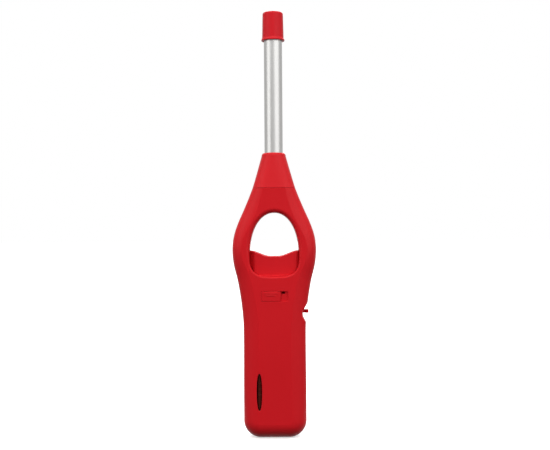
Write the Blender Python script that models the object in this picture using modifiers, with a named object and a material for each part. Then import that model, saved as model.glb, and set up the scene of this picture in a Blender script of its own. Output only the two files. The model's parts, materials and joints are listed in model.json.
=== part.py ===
"""Hand-held piezo gas torch with a finger-ring handle, a metal wand and a pull-off tip cap.

Lengths in this file are millimetres; the mesh helpers turn them into metres. +Z runs up the wand, +X is the
flame lever's side, and -Y is the front, with the fuel window and the safety slide. The origin is the middle
of the flat base.
"""

import math

import bmesh
import bpy
from mathutils import Matrix, Vector

MM = 0.001

# ---------------------------------------------------------------- housing
HALF_WIDTH = [  # (height, half width) of the housing seen from the front
    (9.8, 16.58), (30, 16.5), (52, 16.42), (62, 16.62), (73, 17.7), (84, 19.55), (93, 21.75),
    (101, 22.4), (107.7, 21.56), (114, 19.55), (122, 16.05), (128, 13.5), (133.5, 11.34), (140, 8.6),
]
HALF_DEPTH = [(0, 10.2), (62, 10.2), (100, 9.6), (133.5, 9.2), (145, 9.0)]
BASE_CORNER_R = 9.8
EDGE_IN, EDGE_BACK = 5.5, 6.0  # the rounded edge takes this much of the width and of the depth
WALL = 1.6
GAP = 0.3  # between pieces that touch
PART_LINE = GAP  # between the two shells
SEAM_Z = 133.5  # where the nose cone meets the shells

# ---------------------------------------------------------------- finger ring
RING_Z = 98.0
RING_HALF_WIDTH = 13.16
RING_UP, RING_UP_POWER = 22.6, 2.1
RING_DOWN, RING_DOWN_POWER = 12.8, 3.2
RING_FILLET = 2.0
GUIDE_HALF_WIDTH, GUIDE_END_Z = 13.6, 91.0  # tracks in the ring's side walls guide the trigger down to here
BAY_HALF_DEPTH = 7.3

# ---------------------------------------------------------------- nose cone, wand and cap
CONE_TOP_Z, CONE_LIP = 152.3, 1.8
CONE_TOP_R = 6.54
SKIRT_LENGTH, SKIRT_WALL = 5.0, 1.2
TUBE_R, TUBE_WALL = 4.9, 0.4
TUBE_FOOT_Z, TUBE_TOP_Z = 138.8, 226.0
TUBE_FLANGE_R, TUBE_FLANGE = 5.8, 0.7
VENT_Z, VENT_R = 218.0, 1.2
CAP_TOP_Z, CAP_MOUTH_Z = 228.0, 212.0
CAP_TOP_R, CAP_MOUTH_R, CAP_RIM_R, CAP_BORE_R = 5.5, 5.79, 6.25, 5.0

# ---------------------------------------------------------------- trigger and safety slide
TRIGGER_HALF_WIDTH, TRIGGER_HALF_DEPTH = 13.25, 7.0
TRIGGER_SHOULDER_Z, TRIGGER_SADDLE_Z = 99.9, 96.9
TRIGGER_SKIRT_Z, TRIGGER_SIDE_Z = 84.4, 88.0
TRIGGER_WALL = 1.5
TRIGGER_CHAMFER = 2.75
TRIGGER_ARM_Z = 77.1
SLIDE_X, SLIDE_Z = (-7.0, 3.2), (73.2, 78.5)
SLIDE_RECESS_X, SLIDE_RECESS_Z = (-7.5, 7.2), (71.7, 79.7)
SLIDE_FACE_Y, SLIDE_BACK_Y, SLIDE_FLOOR_Y = -9.85, -9.25, -9.0
SLIDE_PAD_Y = -7.7

# ---------------------------------------------------------------- fuel window, flame lever and base
WINDOW_X, WINDOW_Z = -8.35, 24.6
WINDOW_HALF_WIDTH, WINDOW_HALF_HEIGHT = 1.4, 9.4
LEVER_Z, LEVER_THICKNESS, LEVER_TIP_X = 67.25, 1.8, 18.2
NOTCH = [  # (x, z) of the thumb notch round the lever, on the handle's edge
    (21, 75), (18.4, 73.2), (16.9, 70.8), (15.6, 68.6), (15.15, 66.6), (15.3, 65.0), (16.1, 63.0),
    (17.3, 61.4), (21, 60),
]
FILL_PORT_R = 3.0

# ---------------------------------------------------------------- fuel tank and valve
TANK_HALF_WIDTH, TANK_HALF_DEPTH = 14.4, 8.2
TANK_FOOT_Z, TANK_RIM_Z = 2.1, 50.5
TANK_WALL = 1.5
LID_TOP_Z = 53.3
VALVE_X = 6.8
VALVE_BODY_R, VALVE_BODY_TOP_Z = 2.65, 69.8
STEM_TIP_Z = 74.3
PIVOT_X, PIVOT_Z = 1.9, 70.6

# ---------------------------------------------------------------- piezo igniter
PIEZO_X = -5.1
PIEZO_HALF_WIDTH, PIEZO_HALF_DEPTH = 4.2, 3.7
PIEZO_FOOT_Z, PIEZO_TOP_Z = 53.6, 77.0
PIEZO_FLOOR_Z = 61.0
PLUNGER_HALF_WIDTH, PLUNGER_HALF_DEPTH = 3.3, 2.55
PLUNGER_FOOT_Z, PLUNGER_TOP_Z = 70.5, 86.2

# ---------------------------------------------------------------- case screws
SCREWS = [(0.0, 125.2), (-11.9, 56.2), (11.9, 56.2)]
BOSS_R, SCREW_HEAD_R, SCREW_SHANK_R = 2.2, 1.6, 0.9
SCREW_SEAT_Y, SCREW_TIP_Y = 7.0, -5.8

ROD_TURN = 0.11

COLOURS = {  # name: (red, green, blue, metallic, roughness)
    "red_plastic": (0.60, 0.012, 0.018, 0.0, 0.35),
    "red_trigger": (0.62, 0.014, 0.02, 0.0, 0.38),
    "satin_steel": (0.62, 0.61, 0.59, 1.0, 0.35),
    "brass": (0.70, 0.48, 0.17, 1.0, 0.3),
    "spring_steel": (0.45, 0.45, 0.46, 1.0, 0.3),
    "smoked_plastic": (0.05, 0.03, 0.02, 0.0, 0.15),
    "black_plastic": (0.03, 0.03, 0.03, 0.0, 0.45),
    "white_plastic": (0.8, 0.78, 0.72, 0.0, 0.4),
    "ceramic": (0.75, 0.72, 0.66, 0.0, 0.5),
    "rubber": (0.04, 0.04, 0.04, 0.0, 0.8),
    "wire_sleeve": (0.05, 0.05, 0.05, 0.0, 0.5),
}


# ---------------------------------------------------------------- scene helpers
def clear_scene():
    for obj in list(bpy.data.objects):
        bpy.data.objects.remove(obj)


def make_collection(name):
    made = bpy.data.collections.new(name)
    bpy.context.scene.collection.children.link(made)
    return made


def material(name):
    found = bpy.data.materials.get(name)
    if found:
        return found
    red, green, blue, metallic, roughness = COLOURS[name]
    made = bpy.data.materials.new(name)
    made.use_nodes = True
    shader = made.node_tree.nodes["Principled BSDF"]
    shader.inputs["Base Color"].default_value = (red, green, blue, 1.0)
    shader.inputs["Metallic"].default_value = metallic
    shader.inputs["Roughness"].default_value = roughness
    made.diffuse_color = (red, green, blue, 1.0)
    return made


def add(name, data, look, at=(0, 0, 0)):
    """A named sub-part on the torch's origin, with its own origin at the point given in millimetres."""
    obj = bpy.data.objects.new(name, data)
    PARTS.objects.link(obj)
    data.materials.append(material(look))
    obj.location = Vector(at) * MM
    obj.parent = ORIGIN
    return obj


def tool(name, data, at=(0, 0, 0)):
    """A hidden body that cuts or joins a sub-part."""
    obj = bpy.data.objects.new(name, data)
    TOOLS.objects.link(obj)
    obj.location = Vector(at) * MM
    obj.hide_render = True
    obj.display_type = "WIRE"
    return obj


def mesh_of(name, bm, flat=False):
    """Turns a bmesh in millimetres into a mesh in metres, shaded smooth except across sharp edges."""
    bmesh.ops.scale(bm, vec=(MM, MM, MM), verts=bm.verts)
    mesh = bpy.data.meshes.new(name)
    bm.to_mesh(mesh)
    bm.free()
    if not flat:
        mesh.shade_smooth()
        mesh.set_sharp_from_angle(angle=math.radians(35))
    return mesh


def boolean(obj, other, operation):
    modifier = obj.modifiers.new(f"{operation.lower()} {other.name}", "BOOLEAN")
    modifier.operation = operation
    modifier.solver = "EXACT"
    modifier.object = other


def cut(obj, *tools):
    for other in tools:
        boolean(obj, other, "DIFFERENCE")


def join(obj, *tools):
    for other in tools:
        boolean(obj, other, "UNION")


# ---------------------------------------------------------------- shape helpers
def box_mesh(name, x, y, z):
    """A box between two x, two y and two z values."""
    bm = bmesh.new()
    bmesh.ops.create_cube(bm, size=1.0)
    spans = (x, y, z)
    bmesh.ops.scale(bm, vec=[high - low for low, high in spans], verts=bm.verts)
    bmesh.ops.translate(bm, vec=[(low + high) / 2 for low, high in spans], verts=bm.verts)
    return mesh_of(name, bm, flat=True)


def rod_mesh(name, radius, start, end, segments=24, end_radius=None):
    """A round bar or cone between two points, turned so that no corner lies on a symmetry plane."""
    start, end = Vector(start), Vector(end)
    along = end - start
    turn = along.to_track_quat("Z", "X").to_matrix().to_4x4() @ Matrix.Rotation(ROD_TURN, 4, "Z")
    bm = bmesh.new()
    bmesh.ops.create_cone(
        bm, cap_ends=True, segments=segments, radius1=radius,
        radius2=radius if end_radius is None else end_radius, depth=along.length,
        matrix=Matrix.Translation((start + end) / 2) @ turn,
    )
    return mesh_of(name, bm)


def turn_profile(obj, segments):
    screw = obj.modifiers.new("Turn", "SCREW")
    screw.axis = "Z"
    screw.angle = math.tau
    screw.steps = screw.render_steps = segments
    screw.use_merge_vertices = True
    screw.merge_threshold = 0.00001
    screw.use_smooth_shade = True


def profile_mesh(name, profile, ring):
    """An edge chain in the XZ plane, running down its outer side. A ring's chain is closed."""
    bm = bmesh.new()
    points = [bm.verts.new((radius, 0, height)) for radius, height in profile]
    pairs = list(zip(points, points[1:]))
    if ring:
        pairs.append((points[-1], points[0]))
    for a, b in pairs:
        bm.edges.new((a, b))
    return mesh_of(name, bm, flat=True)


def turned(name, look, profile, at=(0, 0, 0), segments=32, ring=False):
    obj = add(name, profile_mesh(name, profile, ring), look, at)
    turn_profile(obj, segments)
    return obj


def loft_mesh(name, loops, caps=True, flip=False):
    """Skins closed loops of equally many points, in order. Used only between unlike sections."""
    bm = bmesh.new()
    rows = [[bm.verts.new(point) for point in loop] for loop in loops]
    count = len(rows[0])
    for low, high in zip(rows, rows[1:]):
        for i in range(count):
            j = (i + 1) % count
            bm.faces.new((low[i], low[j], high[j], high[i]))
    if caps:
        bm.faces.new(list(reversed(rows[0])))
        bm.faces.new(rows[-1])
    if flip:
        bmesh.ops.reverse_faces(bm, faces=bm.faces)
    bmesh.ops.remove_doubles(bm, verts=bm.verts, dist=0.001)
    return bm


def rounded_section(half_width, half_depth, corner_x, corner_y, steps=6):
    """A rectangle with elliptical corners, counter-clockwise, as (across, deep) points."""
    points = []
    for turn_x, turn_y in ((1, 1), (-1, 1), (-1, -1), (1, -1)):
        quarter = []
        for i in range(steps + 1):
            angle = math.pi / 2 * i / steps
            across = half_width - corner_x + corner_x * math.cos(angle)
            deep = half_depth - corner_y + corner_y * math.sin(angle)
            quarter.append((turn_x * across, turn_y * deep))
        points += quarter if turn_x == turn_y else quarter[::-1]
    return points


def interpolate(table, at):
    """A smooth curve through the table's points (cubic, with central-difference slopes)."""
    last = len(table) - 1
    at = min(max(at, table[0][0]), table[last][0])
    k = next(i for i in range(last) if at <= table[i + 1][0])

    def slope(i):
        low, high = max(i - 1, 0), min(i + 1, last)
        return (table[high][1] - table[low][1]) / (table[high][0] - table[low][0])

    (x0, y0), (x1, y1) = table[k], table[k + 1]
    span = x1 - x0
    t = (at - x0) / span
    return (
        (2 * t**3 - 3 * t**2 + 1) * y0 + (t**3 - 2 * t**2 + t) * span * slope(k)
        + (3 * t**2 - 2 * t**3) * y1 + (t**3 - t**2) * span * slope(k + 1)
    )


def half_width(z):
    return interpolate(HALF_WIDTH, z)


def half_depth(z):
    for (low, a), (high, b) in zip(HALF_DEPTH, HALF_DEPTH[1:]):
        if z <= high:
            return a + (b - a) * max(z - low, 0) / (high - low)
    return HALF_DEPTH[-1][1]


def inset(outline, distance):
    """A closed counter-clockwise outline moved inwards."""
    moved = []
    for i, (x, z) in enumerate(outline):
        (x0, z0), (x1, z1) = outline[i - 1], outline[(i + 1) % len(outline)]
        length = math.hypot(x1 - x0, z1 - z0)
        moved.append((x - (z1 - z0) / length * distance, z + (x1 - x0) / length * distance))
    return moved


def edge_curve(across, back, steps):
    """(distance in from the edge, distance behind the face) round a quarter ellipse, side to face."""
    angles = [math.pi / 2 * i / steps for i in range(steps + 1)]
    return [(across * (1 - math.cos(a)), back * (1 - math.sin(a))) for a in angles]


def smooth_route(route, spacing):
    """Points about one spacing apart along a Catmull-Rom curve through the route's points."""
    route = [Vector(point) for point in route]
    ends = [route[0] * 2 - route[1], *route, route[-1] * 2 - route[-2]]
    points = []
    for a, b, c, d in zip(ends, ends[1:], ends[2:], ends[3:]):
        steps = max(1, round((c - b).length / spacing))
        for i in range(steps):
            t = i / steps
            square = (2 * a - 5 * b + 4 * c - d) * t**2
            cube = (3 * b - a - 3 * c + d) * t**3
            points.append(0.5 * (2 * b + (c - a) * t + square + cube))
    return [*points, route[-1]]


def wire_curve(name, points, radius, resolution=2):
    """A round wire along the points, in millimetres."""
    curve = bpy.data.curves.new(name, "CURVE")
    curve.dimensions = "3D"
    curve.bevel_depth = radius * MM
    curve.bevel_resolution = resolution
    curve.use_fill_caps = True
    spline = curve.splines.new("POLY")
    spline.points.add(len(points) - 1)
    for point, place in zip(spline.points, points):
        point.co = (*(Vector(place) * MM), 1)
    return curve


def coil_points(radius, low, high, turns, per_turn=9):
    count = round(turns * per_turn)
    return [
        (radius * math.cos(math.tau * i / per_turn), radius * math.sin(math.tau * i / per_turn),
         low + (high - low) * i / count)
        for i in range(count + 1)
    ]


def spring(name, x, radius, wire, low, high, turns):
    curve = wire_curve(name, coil_points(radius, low + wire, high - wire, turns), wire, resolution=0)
    return add(name, curve, "spring_steel", at=(x, 0, 0))


def solid_wire(name, look, route, radius, spacing, resolution=2):
    """A wire made a closed mesh, so that it can be cut."""
    curve = wire_curve(name, smooth_route(route, spacing), radius, resolution)
    draft = bpy.data.objects.new(name + "_curve", curve)
    PARTS.objects.link(draft)
    graph = bpy.context.evaluated_depsgraph_get()
    mesh = bpy.data.meshes.new_from_object(draft.evaluated_get(graph))
    bpy.data.objects.remove(draft)
    bm = bmesh.new()
    bm.from_mesh(mesh)
    bmesh.ops.remove_doubles(bm, verts=bm.verts, dist=0.00001)
    bm.to_mesh(mesh)
    bm.free()
    return add(name, mesh, look)


# ---------------------------------------------------------------- housing
def body_outline():
    """The housing's outline from the front, counter-clockwise from the right half of the base."""
    flat = half_width(BASE_CORNER_R) - BASE_CORNER_R
    right = [(flat * 0.5, 0)]
    for i in range(6):
        angle = math.pi / 2 * i / 5
        right.append((flat + BASE_CORNER_R * math.sin(angle), BASE_CORNER_R * (1 - math.cos(angle))))
    heights = [30, 52, 62, 68, 73, 77]
    ring_steps = 17
    heights += [80 + (SEAM_Z - 80) * i / ring_steps for i in range(ring_steps + 1)]
    right += [(half_width(z), z) for z in heights]
    right += [(half_width(SEAM_Z + 3), SEAM_Z + 3), (half_width(140) * 0.7, 140)]
    return right + [(0, 140.5)] + [(-x, z) for x, z in reversed(right)]


def ring_point(x, z):
    """Where the ray from the ring's middle towards (x, z) meets the finger opening."""
    across, up = x, z - RING_Z
    reach, power = (RING_UP, RING_UP_POWER) if up > 0 else (RING_DOWN, RING_DOWN_POWER)
    share = (abs(across / RING_HALF_WIDTH) ** power + abs(up / reach) ** power) ** (-1 / power)
    return across * share, RING_Z + up * share


def shell_mesh(name, side):
    """The outer skin of one shell (side -1 is the front), open at the part line and at the neck."""
    outer = body_outline()
    ring = [ring_point(x, z) for x, z in outer]

    def loop(outline, behind):
        return [(x, side * (half_depth(z) - behind), z) for x, z in outline]

    def part_line(outline):
        return [(x, side * PART_LINE / 2, z) for x, z in outline]

    loops = [part_line(outer)]
    loops += [loop(inset(outer, d), behind) for d, behind in edge_curve(EDGE_IN, EDGE_BACK, 4)]
    fillet = edge_curve(RING_FILLET, RING_FILLET, 2)
    loops += [loop(inset(ring, -d), behind) for d, behind in reversed(fillet)]
    loops.append(part_line(ring))
    bm = loft_mesh(name, loops, caps=False, flip=side > 0)
    above = Vector((0, 0, SEAM_Z + 1.5))
    everything = [*bm.verts, *bm.edges, *bm.faces]
    bmesh.ops.bisect_plane(bm, geom=everything, plane_co=above, plane_no=(0, 0, 1), clear_outer=True)
    return mesh_of(name, bm)


def make_shell(name, side):
    shell = add(name, shell_mesh(name, side), "red_plastic")
    skin = shell.modifiers.new("Wall", "SOLIDIFY")
    skin.thickness = WALL * MM
    skin.offset = -1
    skin.use_even_offset = True

    def deep(near, far):
        return tuple(sorted((side * near, side * far)))

    bay_y = deep(0, BAY_HALF_DEPTH)
    past = deep(-1, 13)
    guide = GUIDE_HALF_WIDTH
    wide = guide + 2.0
    cut(
        shell,
        tool(f"{name}_neck_cut", box_mesh("neck_cut", (-20, 20), past, (SEAM_Z - GAP / 2, 150))),
        tool(f"{name}_bay_cut", box_mesh("bay_cut", (-guide, guide), bay_y, (80, 100.4))),
        tool(f"{name}_bay_foot_cut", box_mesh("bay_foot_cut", (-wide, wide), bay_y, (80, GUIDE_END_Z))),
    )
    pad_y = deep(PART_LINE, 7.2)
    join(shell, tool(f"{name}_notch_pad", box_mesh("notch_pad", (13.2, 15.6), pad_y, (61, 74))))
    for x, z in SCREWS:
        inside = half_depth(z) - WALL + 0.2
        boss = rod_mesh("boss", BOSS_R, (x, side * PART_LINE, z), (x, side * inside, z), 20)
        join(shell, tool(f"{name}_boss_{x:.0f}", boss))
    slot_half = LEVER_THICKNESS / 2 + 0.4
    slot = box_mesh("lever_slot", (12.5, 19), deep(-1, 5.2), (LEVER_Z - slot_half, LEVER_Z + slot_half))
    cut(
        shell,
        tool(f"{name}_thumb_notch", prism_mesh("thumb_notch", NOTCH, *past)),
        tool(f"{name}_lever_slot", slot),
        tool(f"{name}_fill_port", rod_mesh("fill_port", FILL_PORT_R, (0, 0, -1), (0, 0, 3), 32)),
    )
    return shell


def prism_mesh(name, outline, low_y, high_y):
    """A flat outline of (x, z) points drawn through from one y to the other."""
    loops = [[(x, y, z) for x, z in outline] for y in (low_y, high_y)]
    bm = loft_mesh(name, loops)
    bmesh.ops.recalc_face_normals(bm, faces=bm.faces)
    return mesh_of(name, bm, flat=True)


def slot_outline(x, z, corner):
    """A rounded rectangle between two x and two z values."""
    mid_x, mid_z = sum(x) / 2, sum(z) / 2
    section = rounded_section((x[1] - x[0]) / 2, (z[1] - z[0]) / 2, corner, corner, 3)
    return [(mid_x + across, mid_z + up) for across, up in section]


def make_front_shell():
    shell = make_shell("front_shell", -1)
    pad = box_mesh("slide_pad", (-9.5, 9.2), (-8.9, SLIDE_PAD_Y), (70.2, 81.2))
    join(shell, tool("slide_pad", pad))
    window = rod_mesh("fuel_window", 1, (0, -13, 0), (0, -6, 0), 24)
    window.transform(Matrix.Diagonal((WINDOW_HALF_WIDTH, 1, WINDOW_HALF_HEIGHT, 1)))
    recess = slot_outline(SLIDE_RECESS_X, SLIDE_RECESS_Z, 1.2)
    cut(
        shell,
        tool("fuel_window_cut", window, at=(WINDOW_X, 0, WINDOW_Z)),
        tool("slide_recess", prism_mesh("slide_recess", recess, -13, SLIDE_FLOOR_Y)),
        tool("slide_slot", prism_mesh("slide_slot", slot_outline((-5.0, 6.0), (75.6, 78.0), 0.6), -10, -6)),
    )
    for x, z in SCREWS:
        pilot = rod_mesh("pilot", SCREW_SHANK_R + 0.06, (x, 1, z), (x, SCREW_TIP_Y - 0.6, z), 16)
        cut(shell, tool(f"pilot_{x:.0f}", pilot))


def make_rear_shell():
    shell = make_shell("rear_shell", 1)
    for x, z in SCREWS:
        hole = rod_mesh("screw_hole", SCREW_SHANK_R + 0.25, (x, -1, z), (x, 12, z), 16)
        sink = rod_mesh("screw_sink", SCREW_HEAD_R + 0.15, (x, SCREW_SEAT_Y, z), (x, 13, z), 24)
        cut(shell, tool(f"screw_hole_{x:.0f}", hole), tool(f"screw_sink_{x:.0f}", sink))


def make_screws():
    for number, (x, z) in enumerate(SCREWS, 1):
        top, tip = SCREW_SEAT_Y + 0.1, SCREW_TIP_Y
        length = top - tip
        head = 1.3
        profile = [
            (0, length + head), (SCREW_HEAD_R * 0.6, length + head), (SCREW_HEAD_R, length + head * 0.55),
            (SCREW_HEAD_R, length), (SCREW_SHANK_R, length), (SCREW_SHANK_R, 1.2), (0.2, 0), (0, 0),
        ]
        screw = turned(f"case_screw_{number}", "spring_steel", profile, at=(x, tip, z), segments=16)
        screw.rotation_euler = (-math.pi / 2, 0, 0)
        for turn, (across, along) in enumerate(((0.22, 0.95), (0.95, 0.22))):
            slot = box_mesh("cross", (-across, across), (top + head - 0.7, top + head + 1), (-along, along))
            cut(screw, tool(f"cross_{number}_{turn}", slot, at=(x, 0, z)))


# ---------------------------------------------------------------- nose cone, wand and cap
def cone_section(z):
    """Half width, half depth and corner sizes of the nose cone at a height."""
    t = (z - SEAM_Z) / (CONE_TOP_Z - CONE_LIP - SEAM_Z)
    start = (half_width(SEAM_Z), half_depth(SEAM_Z), EDGE_IN, EDGE_BACK)
    return [a + (CONE_TOP_R - a) * t for a in start]


def make_nose_cone():
    foot = SEAM_Z + GAP / 2
    neck = [size - WALL - GAP for size in cone_section(SEAM_Z)]
    core = [size - SKIRT_WALL for size in neck]

    def loop(sizes, z, shrink=0.0):
        return [(x, y, z) for x, y in rounded_section(*[size - shrink for size in sizes])]

    low_edge = CONE_TOP_Z - CONE_LIP
    lip = [(CONE_LIP * (1 - math.cos(a)) * 0.75, CONE_LIP * math.sin(a)) for a in (0.5, 1.0, math.pi / 2)]
    loops = [loop(neck, foot - SKIRT_LENGTH), loop(neck, foot), loop(cone_section(foot), foot, 0.15)]
    loops += [loop(cone_section(z), z) for z in (foot + 0.25, 139, 145, low_edge)]
    loops += [loop(cone_section(low_edge), low_edge + up, inward) for inward, up in lip]
    cone = add("nose_cone", mesh_of("nose_cone", loft_mesh("nose_cone", loops)), "red_plastic")
    cavity = loft_mesh("cone_cavity", [loop(core, foot - SKIRT_LENGTH - 1), loop(core, TUBE_FOOT_Z + 1.0)])
    bore = rod_mesh("cone_bore", TUBE_R + 0.1, (0, 0, TUBE_FOOT_Z), (0, 0, CONE_TOP_Z + 1), 40)
    cut(cone, tool("cone_cavity", mesh_of("cone_cavity", cavity)), tool("cone_bore", bore))
    plate = [size - GAP for size in core]
    foot_z, top_z = TUBE_FOOT_Z - 2.4, TUBE_FOOT_Z - GAP
    washer = loft_mesh("tube_retainer", [loop(plate, foot_z), loop(plate, top_z)])
    retainer = add("tube_retainer", mesh_of("tube_retainer", washer), "spring_steel")
    cut(retainer, tool("retainer_bore", rod_mesh("retainer_bore", 4.3, (0, 0, 130), (0, 0, 142), 24)))


def make_wand():
    inner = TUBE_R - TUBE_WALL
    flange_z = TUBE_FOOT_Z + TUBE_FLANGE
    tube = turned(
        "wand_tube", "satin_steel",
        [
            (TUBE_R - 0.7, TUBE_TOP_Z), (TUBE_R - 0.25, TUBE_TOP_Z - 0.12), (TUBE_R, TUBE_TOP_Z - 0.6),
            (TUBE_R, flange_z), (TUBE_FLANGE_R, flange_z), (TUBE_FLANGE_R, TUBE_FOOT_Z),
            (inner, TUBE_FOOT_Z), (inner, TUBE_TOP_Z - 0.8), (TUBE_R - 0.7, TUBE_TOP_Z - 0.45),
        ],
        segments=32, ring=True,
    )
    for turn in range(2):
        across = Vector((8, 0, 0)) if turn else Vector((0, 8, 0))
        level = Vector((0, 0, VENT_Z))
        cut(tube, tool(f"vent_{turn}", rod_mesh("vent", VENT_R, level - across, level + across, 16)))
    pipe = [(1.2, 211.5), (1.2, 147.4), (0.7, 147.4), (0.7, 211.5)]
    turned("gas_pipe", "brass", pipe, segments=16, ring=True)
    collar = [(4.35, 210.5), (4.35, 206), (1.3, 206), (1.3, 210.5)]
    holder = turned("nozzle_holder", "ceramic", collar, segments=32, ring=True)
    cut(holder, tool("electrode_bore", rod_mesh("electrode_bore", 0.5, (-2.7, 0, 204), (-2.7, 0, 212), 12)))
    turned(
        "burner_nozzle", "brass",
        [
            (0.9, 219.5), (1.3, 219.1), (1.7, 217.6), (1.7, 213.4), (2.2, 213.0), (2.2, 211.8),
            (0.45, 211.8), (0.45, 219.5),
        ],
        segments=20, ring=True,
    )
    route = [(-2.7, 0, 205.9), (-2.7, 0, 214), (-2.6, 0, 218), (-2.2, 0, 220.6), (-1.2, 0, 221.8)]
    add("electrode", wire_curve("electrode", smooth_route(route, 1.5), 0.36, 1), "spring_steel")


def make_cap():
    wall_top = 226.8
    turned(
        "tip_cap", "red_plastic",
        [
            (0, CAP_TOP_Z), (4.5, CAP_TOP_Z), (5.2, CAP_TOP_Z - 0.3), (CAP_TOP_R, CAP_TOP_Z - 1.0),
            (CAP_MOUTH_R, CAP_MOUTH_Z + 2.1), (CAP_MOUTH_R + 0.16, CAP_MOUTH_Z + 1.3),
            (CAP_RIM_R, CAP_MOUTH_Z + 0.6), (CAP_RIM_R, CAP_MOUTH_Z + 0.2), (CAP_RIM_R - 0.2, CAP_MOUTH_Z),
            (CAP_BORE_R + 0.2, CAP_MOUTH_Z), (CAP_BORE_R, CAP_MOUTH_Z + 0.3), (CAP_BORE_R, wall_top - 0.5),
            (CAP_BORE_R - 0.5, wall_top), (0, wall_top),
        ],
        segments=32,
    )


# ---------------------------------------------------------------- trigger and safety slide
def saddle_height(x):
    """The trigger's finger saddle: level shoulders with a shallow dip between them."""
    t = min(max((abs(x) - 2.0) / 8.8, 0), 1)
    return TRIGGER_SADDLE_Z + (TRIGGER_SHOULDER_Z - TRIGGER_SADDLE_Z) * t * t * (3 - 2 * t)


def make_trigger():
    wide, deep, bevel = TRIGGER_HALF_WIDTH, TRIGGER_HALF_DEPTH, TRIGGER_CHAMFER
    plan = [(wide, -deep + 2.8), (wide, deep - 2.8), (wide - bevel, deep), (-wide + bevel, deep)]
    plan += [(-wide, deep - 2.8), (-wide, -deep + 2.8), (-wide + bevel, -deep), (wide - bevel, -deep)]
    block = loft_mesh("trigger", [[(x, y, z) for x, y in plan] for z in (TRIGGER_SKIRT_Z, 102)])
    trigger = add("trigger", mesh_of("trigger", block, flat=True), "red_trigger")
    span = [-14 + 28 * i / 28 for i in range(29)]
    over = [(x, saddle_height(x)) for x in span] + [(14, 104), (-14, 104)]
    inner_x, inner_y = wide - TRIGGER_WALL, deep - TRIGGER_WALL
    hollow = box_mesh("trigger_hollow", (-inner_x, inner_x), (-inner_y, inner_y), (80, 94.5))
    post = box_mesh("post", (PIEZO_X - 3.3, PIEZO_X + 3.3), (-2.5, 2.5), (PLUNGER_TOP_Z + GAP, 95))
    cut(
        trigger,
        tool("saddle", prism_mesh("saddle", over, -9, 9)),
        tool("trigger_hollow", hollow),
        tool("trigger_left_notch", box_mesh("notch", (-14, -11.2), (-9, 9), (80, TRIGGER_SIDE_Z))),
        tool("trigger_right_notch", box_mesh("notch", (11.2, 14), (-9, 9), (80, TRIGGER_SIDE_Z))),
    )
    join(
        trigger,
        tool("plunger_post", post),
        tool("lever_arm", box_mesh("arm", (-0.6, 0.8), (-2.0, 2.0), (TRIGGER_ARM_Z, 95))),
    )


def make_safety_slide():
    button = prism_mesh("safety_slide", slot_outline(SLIDE_X, SLIDE_Z, 1.0), SLIDE_FACE_Y, SLIDE_BACK_Y)
    slide = add("safety_slide", button, "red_trigger")
    tongue = box_mesh("tongue", (-4.6, -1.6), (SLIDE_BACK_Y - 0.3, -6.3), (75.9, 77.7))
    join(slide, tool("slide_tongue", tongue))
    for low in (-5.6, -0.2):
        groove = box_mesh("groove", (low, low + 0.8), (-10.5, SLIDE_FACE_Y + 0.25), (74.2, 77.5))
        cut(slide, tool(f"thumb_groove_{low}", groove))
    plate = box_mesh("safety_clip", (-6.2, 0.2), (-7.4, -6.7), (73.4, 77.9))
    clip = add("safety_clip", plate, "spring_steel")
    cut(clip, tool("clip_eye", box_mesh("clip_eye", (-4.75, -1.45), (-9, -6), (75.75, 80))))


# ---------------------------------------------------------------- fuel tank and valve
def slab_bmesh(name, outline, half, across, back, top, steps=3):
    """A closed slab with rounded edges, from its outline in (x, z), cut level at the tank's rim."""
    curve = edge_curve(across, back, steps)
    loops = [[(x, half - behind, z) for x, z in inset(outline, d)] for d, behind in reversed(curve)]
    loops += [[(x, behind - half, z) for x, z in inset(outline, d)] for d, behind in curve]
    bm = loft_mesh(name, loops)
    everything = [*bm.verts, *bm.edges, *bm.faces]
    rim = bmesh.ops.bisect_plane(
        bm, geom=everything, plane_co=(0, 0, top), plane_no=(0, 0, 1), clear_outer=True,
    )
    rim_edges = [edge for edge in rim["geom_cut"] if isinstance(edge, bmesh.types.BMEdge)]
    bmesh.ops.contextual_create(bm, geom=rim_edges)
    bmesh.ops.recalc_face_normals(bm, faces=bm.faces)
    return bm


def tank_outline(shrink):
    """The tank's outline, with large corners at the foot; it runs past the rim, where it is cut."""
    wide, foot, corner = TANK_HALF_WIDTH - shrink, TANK_FOOT_Z + shrink, 7.6 - shrink
    right = [((wide - corner) / 2, foot)]
    for i in range(6):
        angle = math.pi / 2 * i / 5
        right.append((wide - corner + corner * math.sin(angle), foot + corner * (1 - math.cos(angle))))
    right.append((wide, 60))
    return right + [(-x, z) for x, z in reversed(right)]


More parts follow.
